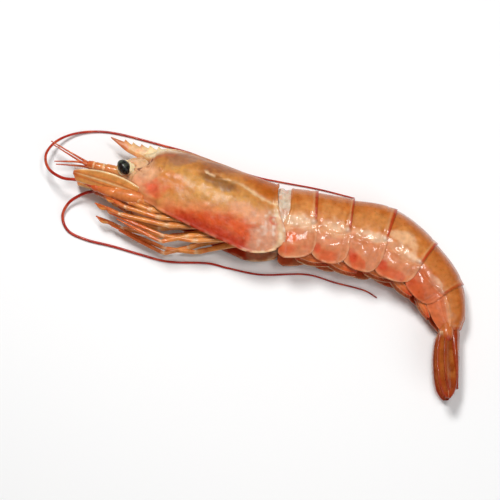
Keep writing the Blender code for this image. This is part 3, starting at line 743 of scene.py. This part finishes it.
def tergite_shape(number):
    """Shape function of a tail segment, with lobed flaps and a hinge knob at the rear."""
    first, last = number == 1, number == SEGMENTS
    lobe = LAST_FLAP if last else 1.0

    def shape(t, share):
        u = t - segment_start(number)
        half = 0.12 if first and u < 0.5 else 0.54
        arch = math.sqrt(1 - min(1.0, abs(u - 0.5) / half) ** 2.6)
        drop = FLAP_NOTCH + (lobe - FLAP_NOTCH) * arch
        scale = 0.93 + 0.035 * (u + 0.2) / 0.2 if u < 0 else 0.965 + 0.04 * u
        sweep = 2.6 * max(0.0, u) ** 2
        tuck = 0.0
        if first:
            tuck = SIDE_REACH * ((1 - u) / (1 - MEMBRANE_GAP)) ** 2
            scale -= 0.05 * max(0.0, (0.5 - u) / (0.5 - MEMBRANE_GAP))
        if last:
            scale *= 1 - LAST_TAPER * max(0.0, (u - 0.65) / 0.35) ** 2
            sweep *= 0.5
        hang = share ** 2 * (1 - 0.45 * np.clip((share - 0.8) / 0.2, 0, 1) ** 2)
        slide = sweep * hang - tuck * np.clip((share - 0.5) / 0.3, 0, 1)
        relief = 0.16 * step(0.92, 0.98, u) - 0.14 * bell(u - 0.86, 0.03)
        relief += 0.45 * bell(u - 0.52, 0.26) * bell(share - 0.84, 0.11)
        groove = share - 0.66 - 0.05 * math.sin(u * math.pi)
        relief -= 0.30 * bell(groove, 0.022) * step(0.15, 0.3, u)
        relief += 0.75 * bell(u - 0.93, 0.06) * bell(share - 0.63, 0.028)
        relief += 0.10 * step(0.97, 0.985, share)
        if number >= 4:
            relief += 0.45 * bell(share, 0.05)
        if first:
            relief += 0.30 * bell(u - 0.47, 0.03)
        if last:
            relief += 0.35 * bell(share - 0.60, 0.03) * step(0.1, 0.4, u)
        return scale, drop, slide, relief

    return shape


def tergite(number):
    """One tail segment's shell."""
    begin = MEMBRANE_GAP if number == 1 else -0.2
    spread = (1 - np.cos(np.linspace(0.12, 1, 90) * math.pi)) / 2
    spread = (spread - spread[0]) / (1 - spread[0])
    stations = segment_start(number) + begin + (1 - begin) * spread
    grid, t, share, side = skin_grid(stations, 181, tergite_shape(number))
    crumple = bell(share - 0.66, 0.12)
    wave = 0.13 * grain(grid, 4.2, 30 + number) + (0.06 + 0.14 * crumple) * grain(grid, 1.8, 40 + number)
    grid[..., 2] += wave * side * np.minimum(share / 0.4, 1)
    grid = press_down(grid)
    sheet_piece(f"segment_{number}", grid, tergite_paint(number, grid, t, share), shell)


def tergite_paint(number, grid, t, share):
    """Orange and tan back, paler fold with painted highlights on it and on the hinge, reddish flap and a
    dark-red rear border.
    """
    start = segment_start(number)
    u = t - start
    ragged = grain(grid, 1.8, 50 + number)
    streak = streaks(t, share, 1 + number)
    p = SidePaint(grid, t, share, (196, 116, 62))
    p.layer((182, 98, 46), step(0.42, 0.0, share + 0.08 * ragged) * 0.7)
    p.patch((210, 142, 84), (start + 0.5, 0.48), (0.55, 0.13), 60 + number, 0.7, 0.5)
    p.layer((156, 80, 40), step(0.1, 0.8, streak) * step(0.60, 0.45, share) * 0.22)
    p.layer((222, 150, 96), step(-0.1, -0.8, streak) * step(0.62, 0.5, share) * 0.22)
    p.layer((210, 134, 96), step(0.56, 0.70, share + 0.08 * ragged) * 0.9)
    # Cream and whitish patches at the mid-flank: partly the pale translucent shell, partly painted
    # highlight.
    p.patch((232, 180, 138), (start + 0.6, 0.64), (0.55, 0.11), 90 + number, 0.6, 0.5)
    p.patch((244, 214, 182), (start + 0.65, 0.64), (0.34, 0.05), 95 + number, 0.4, 0.7)
    p.patch((212, 92, 58), (start + 0.45, 0.93), (0.42, 0.08), 70 + number, 0.7, 0.7)
    p.patch(RED, (start + 0.22, 0.90), (0.14, 0.07), 80 + number, 0.6, 0.6)
    p.layer((236, 196, 158), step(0.976, 0.99, share) * step(-0.2, 0.6, ragged) * 0.4)
    # White spot on the hinge knob: painted highlight.
    p.layer(WHITE, bell(u - 0.93, 0.05) * bell(share - 0.63, 0.03) * 0.5)
    border = step(0.935, 0.965, u + 0.010 * ragged)
    p.layer(BORDER_RED, border * step(0.68, 0.55, share) * 0.9)
    p.layer(PALE, bell(u - 0.92, 0.022) * step(0.7, 0.5, share) * 0.2)
    p.layer((230, 170, 130), border * step(0.62, 0.74, share) * 0.35)
    if number == 1:
        p.patch((222, 100, 46), (start + 0.56, 0.80), (0.16, 0.07), 99, 0.85, 0.3)
    if number == 4:
        p.patch((238, 188, 146), (start + 0.35, 0.5), (0.4, 0.1), 98, 0.7, 0.6)
    if number >= 5:
        p.layer((196, 92, 56), 0.65 * step(0.52, 0.70, share))
        p.layer((182, 98, 52), 0.5 * step(0.62, 0.50, share))
    if number == SEGMENTS:
        p.layer((214, 120, 80), 0.7 * step(0.64, 0.78, share))
        p.layer((226, 152, 104), bell(share - 0.62, 0.022) * step(0.0, 0.3, u) * 0.7)
    return p


def membrane():
    """Soft white skin between the carapace and the first segment."""
    def shape(t, share):
        fold = 0.25 * math.sin((t - 4.4) * 26.0)
        return 0.925, 0.62, np.zeros_like(share), np.full_like(share, fold)

    grid, t, share, side = skin_grid(np.linspace(4.4, 5.6, 44), 121, shape)
    grid[..., 2] += 0.12 * grain(grid, 1.6, 5) * side
    grid = press_down(grid)
    p = Paint(grid, MEMBRANE)
    p.mottle(PINK, 0.0, 0.6, 2.6, 6, 0.5)
    p.mottle(WHITE, 0.1, 0.7, 1.2, 7, 0.5)
    sheet_piece("neck_membrane", grid, p, skin, 0.4)


def core(name, stations, belly, colour, fades):
    """Flesh inside the shells, seen from below between the flaps, with a ridge at each segment."""
    rings = []
    turn = full_turn(72)
    for t in stations:
        middle, _, back, half_depth, half_width = body_frame(t)
        up = np.cos(turn)
        up = np.where(up > 0, up * half_depth * CORE_SCALE, up * half_depth * belly)
        out = np.sin(turn) * half_width * CORE_SCALE
        below = np.maximum(0.0, -np.cos(turn)) * (1 - np.abs(np.sin(turn)) ** 3)
        fold = 1 + 0.09 * below * bell((t % 1.0) - 0.5, 0.11)
        ends = min((t - stations[0]) / fades[0], (stations[-1] - t) / fades[1])
        close = math.sqrt(1 - (1 - min(1.0, ends + 0.02)) ** 2)
        rings.append(middle + (up * fold * close)[:, None] * back + (out * close)[:, None] * UP)
    rings = press_down(roughen(np.array(rings), 0.25, 2.5, 8))
    p = Paint(rings, colour)
    p.mottle(PINK, -0.1, 0.6, 3.0, 10, 0.7)
    p.mottle(PALE, 0.2, 0.7, 1.4, 11, 0.5)
    along = (stations % 1.0)[:, None]
    p.layer(PALE, bell(along - 0.5, 0.09) * 0.6)
    p.layer(RED, bell(along - 0.34, 0.05) * 0.35)
    closed_piece(name, rings, p, skin)


def pointed_leaf(f):
    """Half widths of a leaf with a pointed end."""
    half = np.maximum(0.10, np.sin(math.pi * (0.16 + 0.80 * f)) ** 0.75)
    return half, half


def blade(name, root, along, across, size, paint, material=fan_shell, bend=0.0, outline=pointed_leaf,
          ribs=(), steps=70, thin=0.6):
    """Leaf-shaped plate with ribs. outline(f) gives the half widths on each side as shares."""
    length, width, thick = size
    along = unit(along)
    normal = unit(np.cross(along, across))
    across = np.cross(normal, along)
    f = np.linspace(0, 1, steps)
    left, right = outline(f)
    a = np.concatenate([np.linspace(-1, 1, 31), np.linspace(1, -1, 31)[1:-1]])
    top = np.concatenate([np.ones(31), -np.ones(29)])
    rings = np.zeros((steps, len(a), 3))
    for i in range(steps):
        w = np.where(a < 0, a * left[i], a * right[i]) * width / 2
        body = thick / 2 * (1 - thin * f[i]) * np.sqrt(np.clip(1 - a ** 2, 0, 1)) ** 0.8
        for at, high, wide in ribs:
            body = body + high * bell(a - at, wide) * (1 - f[i] ** 3)
        edge = 0.14 * (1 - np.abs(a) ** 8)
        rise = top * (body + edge)
        centre = root + along * (length * f[i]) + normal * (bend * f[i] ** 2)
        rings[i] = centre + w[:, None] * across + rise[:, None] * normal
    rings = roughen(rings, 0.08, 2.2, 12, normal)
    f_grid, a_grid = np.meshgrid(f, a, indexing="ij")
    closed_piece(name, press_down(rings), paint(f_grid, a_grid, rings), material)
    return rings


def fringe(name, rings, column, outward, length, count, seed, colour):
    """Bristles along one edge of a blade."""
    rng = random.Random(seed)
    roots, ways, lengths = [], [], []
    for k in range(count):
        i = 3 + int((len(rings) - 5) * k / count)
        ahead = unit(rings[i + 1, column] - rings[i, column])
        way = outward * (0.75 + 0.2 * rng.random()) + ahead * (0.55 + 0.2 * rng.random())
        way = way + UP * 0.12 * (rng.random() - 0.5)
        roots.append(rings[i, column])
        ways.append(way)
        lengths.append(length * (0.75 + 0.4 * rng.random()))
    hairs(name, roots, ways, lengths, 0.055, colour)


def rostrum():
    """Toothed blade that starts on the carapace's back and runs out between the eyes."""
    forward = np.linspace(ROSTRUM_LOWER[0][0], ROSTRUM_LOWER[-1][0], 260)
    lower = relax(np.interp(forward, *zip(*ROSTRUM_LOWER)), 60)
    crest = relax(np.interp(forward, *zip(*ROSTRUM_CREST)), 60)
    phase = (forward - ROSTRUM_FIRST_TOOTH) / ROSTRUM_TOOTH
    toothed = (phase > 0) & (phase < ROSTRUM_TEETH)
    even = 1 - 0.25 * np.abs(phase / (ROSTRUM_TEETH / 2) - 1)
    crest = crest - ROSTRUM_TOOTH_RISE * (phase % 1.0) ** 1.5 * toothed * even
    f = np.linspace(0, 1, len(forward))
    levels = 17
    rows, highs = [], []
    for k in range(2 * levels - 2):
        side = 1 if k < levels else -1
        g = (k if k < levels else 2 * levels - 2 - k) / (levels - 1)
        thick = ROSTRUM_THICK * (1 - 0.55 * f) * math.sin(math.pi * min(g * 0.86 + 0.05, 1)) ** 0.6
        thick = thick + 0.35 * bell(g - 0.30, 0.12) * (1 - f)
        down = lower + (crest - lower) * g
        points = CHEST_ORIGIN + forward[:, None] * AHEAD + down[:, None] * BELOW
        rows.append(points + (side * thick)[:, None] * UP)
        highs.append(g)
    rings = np.stack(rows, axis=1)
    f_grid, g_grid = np.meshgrid(f, highs, indexing="ij")
    p = Paint(rings, (226, 182, 122))
    p.layer(CREAM, step(0.25, 0.8, g_grid) * step(0.85, 0.5, f_grid) * 0.8)
    p.layer((190, 84, 48), step(0.62, 0.95, f_grid + 0.1 * grain(rings, 2.0, 28)) * 0.75)
    p.layer((206, 124, 84), step(0.45, 0.0, g_grid) * 0.6)
    p.mottle((200, 90, 60), 0.2, 0.7, 1.2, 29, 0.35)
    closed_piece("rostrum", rings, p, crest_shell)


def antenna_paint(f, a, rings):
    p = Paint(rings, (222, 152, 88))
    p.layer(CREAM, step(0.82, 0.95, np.abs(a)) * 0.8)
    p.layer((202, 98, 52), bell(a - 0.25, 0.16) * 0.6)
    p.layer((208, 110, 60), bell(a + 0.35, 0.14) * 0.5)
    p.layer(CREAM, bell(a + 0.05, 0.07) * 0.6)
    p.layer(RED, step(0.86, 1.0, f) * 0.5)
    return p


def limb_paint(rings, seed, base, tip):
    """Colour along a limb: base to tip, with a pale stripe and ragged red bands."""
    count, sides = rings.shape[:2]
    f, turn = np.meshgrid(np.linspace(0, 1, count), full_turn(sides), indexing="ij")
    p = Paint(rings, base)
    p.layer(CREAM, bell(np.sin(turn - 0.8) - 1, 0.35) * 0.55)
    p.layer(tip, step(0.45, 1.0, f + 0.08 * grain(rings, 2.0, seed)) * 0.75)
    p.mottle(tip, 0.15, 0.6, 2.4, seed + 1, 0.4)
    return p


def limb_piece(name, rings, seed, base=ORANGE, tip=LIMB_RED):
    closed_piece(name, rings, limb_paint(rings, seed, base, tip), limb_shell)


def head():
    """Brow between the eyes, and the paired mouth parts, eyes, antennules and antennae."""
    rings = roughen(limb(chest_path(BROW, 1, 16), BROW_RADII, 48), 0.35, 2.0, 15)
    p = Paint(rings, (226, 180, 138))
    p.mottle(PINK, -0.1, 0.5, 2.2, 16, 0.6)
    p.mottle((214, 160, 96), 0.1, 0.6, 1.5, 17, 0.6)
    p.mottle((120, 70, 50), 0.45, 0.8, 1.1, 18, 0.6)
    closed_piece("brow", rings, p, skin)

    for side, name in SIDES:
        mouth_parts(side, name)
        eye(side, name)
        antennule(side, name)
        antenna(side, name)


def mouth_parts(side, name):
    """One jaw lobe with two feeding palps folded over it."""
    rings = roughen(limb(chest_path(JAW, side, 14), JAW_RADII, 30), 0.4, 1.8, 19)
    p = Paint(rings, (216, 140, 90))
    p.mottle(RED, 0.0, 0.6, 2.0, 20, 0.5)
    p.mottle(PALE, 0.2, 0.7, 1.1, 43, 0.5)
    closed_piece(f"jaw_{name}", rings, p, skin)
    for rank, places in enumerate(PALPS):
        rings = limb(chest_path(places, side, 12), PALP_RADII, 14, 0.8)
        limb_piece(f"palp_{rank + 1}_{name}", rings, 44 + rank, (222, 144, 92), (200, 84, 50))


def eye(side, name):
    """Stalk, squashed ball and the pale rim behind it."""
    rings = limb(chest_path(EYE_STALK, side, 14), EYE_STALK_RADII, 28)
    p = Paint(rings, CREAM)
    p.mottle((216, 168, 104), 0.0, 0.6, 1.2, 21, 0.7)
    p.mottle((150, 80, 50), 0.35, 0.8, 0.9, 22, 0.5)
    closed_piece(f"eye_stalk_{name}", rings, p, skin)

    centre = at_place(EYE_PLACE, side)
    turn = CHEST_ANGLE - math.pi + EYE_TURN
    short = np.array([math.cos(turn), math.sin(turn), 0.0])
    long = np.array([-math.sin(turn), math.cos(turn), 0.0])
    polar, around = np.meshgrid(np.linspace(0.02, math.pi - 0.02, 60), full_turn(90), indexing="ij")
    a, b, c = np.sin(polar) * np.cos(around), np.sin(polar) * np.sin(around), np.cos(polar)
    radius = EYE_RADIUS * (1 - 0.14 * bell(a + 1.0, 0.5))
    grid = centre + (a * EYE_SQUASH[0] * radius)[..., None] * short
    grid = grid + (b * EYE_SQUASH[1] * radius)[..., None] * long
    grid = grid + (c * EYE_SQUASH[2] * radius * side)[..., None] * UP
    if side > 0:
        grid = grid[::-1]
    p = Paint(grid, BLACK)
    # Grey-green patch, stronger towards one end of the eye: painted sheen.
    p.layer((92, 98, 84), step(-0.1, 0.6, grain(grid, 1.6, 23) + 0.4 * b) * 0.55)
    p.mottle((70, 50, 38), 0.2, 0.7, 0.8, 27, 0.3)
    closed_piece(f"eye_{name}", grid, p, eye_skin)

    rim = [centre + AHEAD * ahead + BELOW * below - UP * side * inward for ahead, below, inward in EYE_RIM]
    path = through(rim, 14)
    rings = limb_rings(path, np.full(len(path), EYE_RIM_THICK), 12)
    p = Paint(rings, CREAM)
    p.mottle((224, 180, 120), 0.0, 0.5, 1.0, 24, 0.7)
    closed_piece(f"eye_rim_{name}", rings, p, skin)


def antennule(side, name):
    """Three-jointed stem with two short whips."""
    stem = chest_path(ANTENNULE, side, 20)
    radii = fill(ANTENNULE_RADII, len(stem))
    joint = np.linspace(0, 1, len(stem))
    radii = radii - 0.28 * bell(joint - 0.55, 0.02) - 0.25 * bell(joint - 0.80, 0.02)
    rings = limb_rings(stem, radii, 26, 0.85)
    p = limb_paint(rings, 30, (220, 150, 90), (206, 92, 52))
    p.layer(CREAM, (bell(joint - 0.58, 0.02) + bell(joint - 0.83, 0.02))[:, None] * 0.7)
    closed_piece(f"antennule_{name}", rings, p, limb_shell)
    for title, places in WHIPS:
        whip = chest_path(places, side, 46)
        radii = np.linspace(0.60, 0.20, len(whip)) * (1 + 0.12 * np.sin(np.arange(len(whip)) * 2.1))
        rings = limb_rings(whip, radii, 10)
        p = Paint(rings, (196, 82, 48))
        p.mottle((224, 140, 96), 0.1, 0.6, 1.5, 33, 0.6)
        closed_piece(f"antennule_whip_{title}_{name}", rings, p, feeler_skin)


def antenna(side, name):
    """Broad scale with a bristled inner edge, over the jointed stem of the long feeler."""
    root = at_place(SCALE_ROOT, side)
    ahead = at_place(SCALE_TIP, side) - root
    across = BELOW * math.cos(SCALE_TILT) - UP * side * math.sin(SCALE_TILT)

    def outline(f):
        outer = np.minimum(1.0, 0.72 + 0.5 * f) * (1 - 0.16 * f) * (1 - 0.7 * step(0.93, 1.0, f))
        inner = np.sin(math.pi * (0.14 + 0.84 * f)) ** 0.7
        return inner, outer

    rings = blade(f"scale_{name}", root, ahead, across, SCALE_SIZE, antenna_paint,
                  limb_shell, 0.6 * side, outline, ((0.25, 0.28, 0.07), (-0.35, 0.22, 0.06)), 90)
    fringe(f"scale_bristles_{name}", rings, 0, -across, 1.7, 90, 7 + side, (230, 160, 110))

    stem = chest_path(ANTENNA, side, 18)
    radii = fill(ANTENNA_RADII, len(stem))
    joint = np.linspace(0, 1, len(stem))
    radii = radii - 0.3 * bell(joint - 0.42, 0.02) - 0.25 * bell(joint - 0.74, 0.02)
    rings = limb_rings(stem, radii, 28, 0.9)
    limb_piece(f"antenna_stem_{name}", rings, 36, (214, 128, 76), (196, 74, 44))


def feelers():
    """The two long feelers, ringed along their whole length."""
    for side, name, bend, gaps in FEELERS:
        route = [at_place(FEELER_ROOT, side)] + [np.array(point) for point in bend]
        for t, gap in gaps:
            _, _, _, half_depth, _ = body_frame(t)
            point = on_body(t, side * (half_depth + gap), 0)
            route.append(np.array([point[0], point[1], FEELER_LOW]))
        path = through(route, 40)
        radii = np.linspace(0.60, 0.24, len(path)) * (1 + 0.03 * np.sin(np.arange(len(path)) * 2.2))
        rings = limb_rings(path, radii, 12)
        p = Paint(rings, FEELER_RED)
        p.mottle((208, 94, 64), 0.0, 0.7, 3.0, 41, 0.7)
        p.mottle((120, 30, 22), 0.2, 0.8, 1.2, 42, 0.4)
        closed_piece(f"feeler_{name}", rings, p, feeler_skin)


def leg_corners(side, root, parts, thick):
    """Corners of a leg from inside the chest to its tip, and its radius at each."""
    forward, down = root, LEG_ROOT_DOWN
    corners = [
        on_chest(forward - 2.0, down - 2.5, side * LEG_ROOT_OUT),
        on_chest(forward, down, side * LEG_SPREAD[0]),
    ]
    radii = [thick * 1.9, thick * 1.6]
    for k, (length, angle) in enumerate(parts):
        if side < 0:
            angle += LEG_DROOP_RIGHT * (1 - 0.4 * k)
        middle_out = (LEG_SPREAD[k] + LEG_SPREAD[k + 1]) / 2
        for out, radius in ((middle_out, 1.12 - 0.2 * k), (LEG_SPREAD[k + 1], LEG_JOINT_RADII[k])):
            forward += length * math.cos(math.radians(angle)) / 2
            down += length * math.sin(math.radians(angle)) / 2
            corners.append(on_chest(forward, down, side * out))
            radii.append(thick * radius)
    return np.array(corners), radii


def cornered_path(corners, per_span):
    """Points along straight spans, with the corners a little rounded."""
    share = np.linspace(0, 1, per_span, endpoint=False)[:, None]
    spans = [a + (b - a) * share for a, b in zip(corners, corners[1:])]
    return relax(np.concatenate(spans + [corners[-1:]]), 3)


def leg_bristles(name, path, thickness, first, count, reach, seed):
    """Bristles on a leg from one point of its path to near its tip, most of them on its lower side."""
    rng = random.Random(seed)
    roots, ways, lengths = [], [], []
    for _ in range(count):
        i = rng.randrange(first, len(path) - 4)
        way = BELOW * (0.9 if rng.random() < 0.7 else -0.6) + UP * (rng.random() - 0.5) * 1.2 + AHEAD * 0.7
        roots.append(path[i] + unit(way) * thickness[i] * 0.7)
        ways.append(way)
        lengths.append(reach * (0.6 + 0.6 * rng.random()))
    hairs(name, roots, ways, lengths, 0.05, BRISTLE)


def leg(side, name, title, root, parts, thick, pincer, seed):
    """One jointed leg with swollen pale knees, its pincer's finger and its bristles."""
    per_span = 16
    corners, radii = leg_corners(side, root, parts, thick)
    path = cornered_path(corners, per_span)
    thickness = fill(radii, len(path))
    at = np.arange(len(path)) / per_span
    for knee in LEG_KNEES:
        thickness = thickness * (1 + 0.20 * bell(at - knee + 0.18, 0.16) - 0.22 * bell(at - knee, 0.05))
    rings = limb_rings(path, thickness, 16, 0.86)
    p = limb_paint(rings, seed, ORANGE, LIMB_RED)
    p.layer(PALE, sum(bell(at - knee, 0.10) for knee in LEG_KNEES)[:, None] * 0.7)
    closed_piece(f"{title}_{name}", rings, p, limb_shell)
    if pincer:
        finger = through([corners[-2], (corners[-2] + corners[-1]) / 2 + np.array([0, -0.9, 0]),
                          corners[-1] + np.array([0.4, -0.3, 0])], 14)
        limb_piece(f"{title}_finger_{name}", limb(finger, FINGER_RADII, 12), seed + 3)
    count, reach = JAW_FOOT_BRISTLES if title == "jaw_foot" else LEG_BRISTLES
    leg_bristles(f"{title}_bristles_{name}", path, thickness, per_span * 2, count, reach, seed)


def legs():
    for side, name in SIDES:
        for number, (title, root, parts, thick, pincer) in enumerate(LEGS):
            leg(side, name, title, root, parts, thick, pincer, 100 + 10 * number + side)


def paddle_paint(f, a, rings):
    p = Paint(rings, (216, 122, 74))
    p.layer(RED, step(0.35, 1.0, f + 0.15 * grain(rings, 1.6, 60)) * 0.7)
    p.layer(CREAM, step(0.8, 0.96, np.abs(a)) * 0.5)
    return p


def swimmerets():
    """Five pairs of paddles folded tailward between the flaps."""
    for number in range(1, SEGMENTS):
        t = CARAPACE_REAR + number - PADDLE_BACK
        _, tail, back, half_depth, half_width = body_frame(t)
        length, width, thick = PADDLE_SIZE
        shrink = 1.0 - PADDLE_SHRINK * (number - 1)
        for side, name in SIDES:
            out = side * half_width * 0.46
            hip = on_body(t, -0.34 * half_depth, out)
            knee = on_body(t, -0.84 * half_depth, out * 1.04, 2.4)
            rings = limb(through([hip, (hip + knee) / 2, knee], 14), PADDLE_STEM_RADII, 26, 0.8)
            limb_piece(f"paddle_stem_{number}_{name}", rings, 61, (226, 140, 96), (214, 84, 52))
            heading = tail * math.cos(PADDLE_LEAN) - back * math.sin(PADDLE_LEAN)
            across = UP * math.cos(PADDLE_ROLL) + back * math.sin(PADDLE_ROLL) * side
            rings = blade(f"paddle_{number}_{name}", knee - heading, heading, across,
                          (length * shrink, width * shrink, thick), paddle_paint,
                          bend=-0.8, ribs=((0.0, 0.15, 0.12),), steps=40)
            fringe(f"paddle_bristles_{number}_{name}", rings, 0, -across, 1.5, 30, number, (220, 130, 90))


def fan_paint(f, a, rings):
    # Dark orange-brown base: the fan's own colour, darkened partly as painted shade.
    p = Paint(rings, (154, 80, 40))
    p.mottle((186, 114, 62), -0.2, 0.6, 2.6, 70, 0.6)
    p.layer((150, 62, 34), step(0.66, 0.94, np.abs(a) + 0.1 * grain(rings, 1.4, 71)) * 0.75)
    p.layer((144, 50, 28), step(0.60, 1.0, f) * 0.55)
    p.layer(CREAM, bell(a, 0.05) * 0.3)
    p.layer(PALE, step(0.10, 0.0, f) * 0.6)
    return p


def round_leaf(f):
    """Half widths of a leaf with a rounded end."""
    rounding = np.sqrt(1 - 0.85 * np.clip((f - 0.8) / 0.2, 0, 1) ** 2)
    half = np.sin(math.pi * (0.14 + 0.74 * f)) ** 0.6 * rounding
    return half, half


def tail_fan():
    """Pointed middle plate that carries on the line of the back, with two blades on each side."""
    root = on_body(TAIL_ROOT - 0.14, 1.7, 0)
    _, tail, back, _, _ = body_frame(TAIL_ROOT)
    blade("telson", root, tail, UP, TELSON_SIZE, fan_paint,
          ribs=((0.35, 0.3, 0.09), (-0.35, 0.3, 0.09)), steps=90, thin=0.85)
    for side, name in SIDES:
        stem = through([
            on_body(TAIL_ROOT - 0.16, -0.6, side * 2.2),
            on_body(TAIL_ROOT, -0.9, side * 3.2, 1.6),
            on_body(TAIL_ROOT, -1.1, side * 3.6, 4.6),
        ], 16)
        rings = limb(stem, FAN_STEM_RADII, 26)
        limb_piece(f"fan_stem_{name}", rings, 71, (196, 112, 66), (170, 60, 36))
        for title, size, lean, rise, aside, spread in FAN_BLADES:
            base = on_body(TAIL_ROOT, rise, side * aside, 0.6)
            across = UP * side * math.cos(lean) - back * math.sin(lean)
            heading = tail + UP * side * spread - back * 0.03
            rings = blade(f"fan_{title}_{name}", base, heading, across, size, fan_paint,
                          bend=0.5 * side, outline=round_leaf,
                          ribs=((0.1, 0.25, 0.08), (0.35, 0.12, 0.06)), steps=90)
            fringe(f"fan_bristles_{title}_{name}", rings, 30, across, 1.2, 80, 80 + side, (206, 110, 70))


def floor_and_lights():
    bpy.ops.mesh.primitive_plane_add(size=FLOOR_SIZE, location=(0, 0, 0))
    floor = bpy.context.object
    floor.name = "floor"
    made = bpy.data.materials.new("pale_floor")
    made.use_nodes = True
    set_sockets(made.node_tree.nodes["Principled BSDF"], {"Base Color": FLOOR_COLOUR, "Roughness": 0.7})
    floor.data.materials.append(made)

    world = bpy.data.worlds.new("studio")
    world.use_nodes = True
    set_sockets(world.node_tree.nodes["Background"], {"Color": WORLD_COLOUR, "Strength": WORLD_STRENGTH})
    bpy.context.scene.world = world
    for name, place, power, size in LAMPS:
        data = bpy.data.lights.new(name, "AREA")
        data.energy = power
        data.size = size
        lamp = add_object(name, data)
        lamp.location = place
        lamp.rotation_euler = direction_angles(-np.array(place))


def direction_angles(aim):
    """Rotation that points an object's -Z along aim."""
    return Vector(aim).to_track_quat("-Z", "Y").to_euler()


def camera():
    way = np.array([0.0, -math.cos(CAMERA_ELEVATION), math.sin(CAMERA_ELEVATION)])
    data = bpy.data.cameras.new("camera")
    data.lens = CAMERA_LENS
    data.sensor_width = CAMERA_SENSOR
    cam = add_object("camera", data)
    cam.location = CAMERA_TARGET + way * CAMERA_DISTANCE
    cam.rotation_euler = direction_angles(-way)
    bpy.context.scene.camera = cam


camera()
carapace()
membrane()
for number in range(1, SEGMENTS + 1):
    tergite(number)
core("tail_flesh", np.linspace(4.15, 10.95, 140), BELLY_TAIL + 0.02, (226, 150, 112), (1.5, 0.3))
core("chest_flesh", np.linspace(0.15, 5.1, 120), BELLY_CHEST + 0.02, (222, 142, 104), (0.3, 1.3))
rostrum()
head()
feelers()
legs()
swimmerets()
tail_fan()
floor_and_lights()
scene = bpy.context.scene
scene.view_settings.view_transform = "Standard"
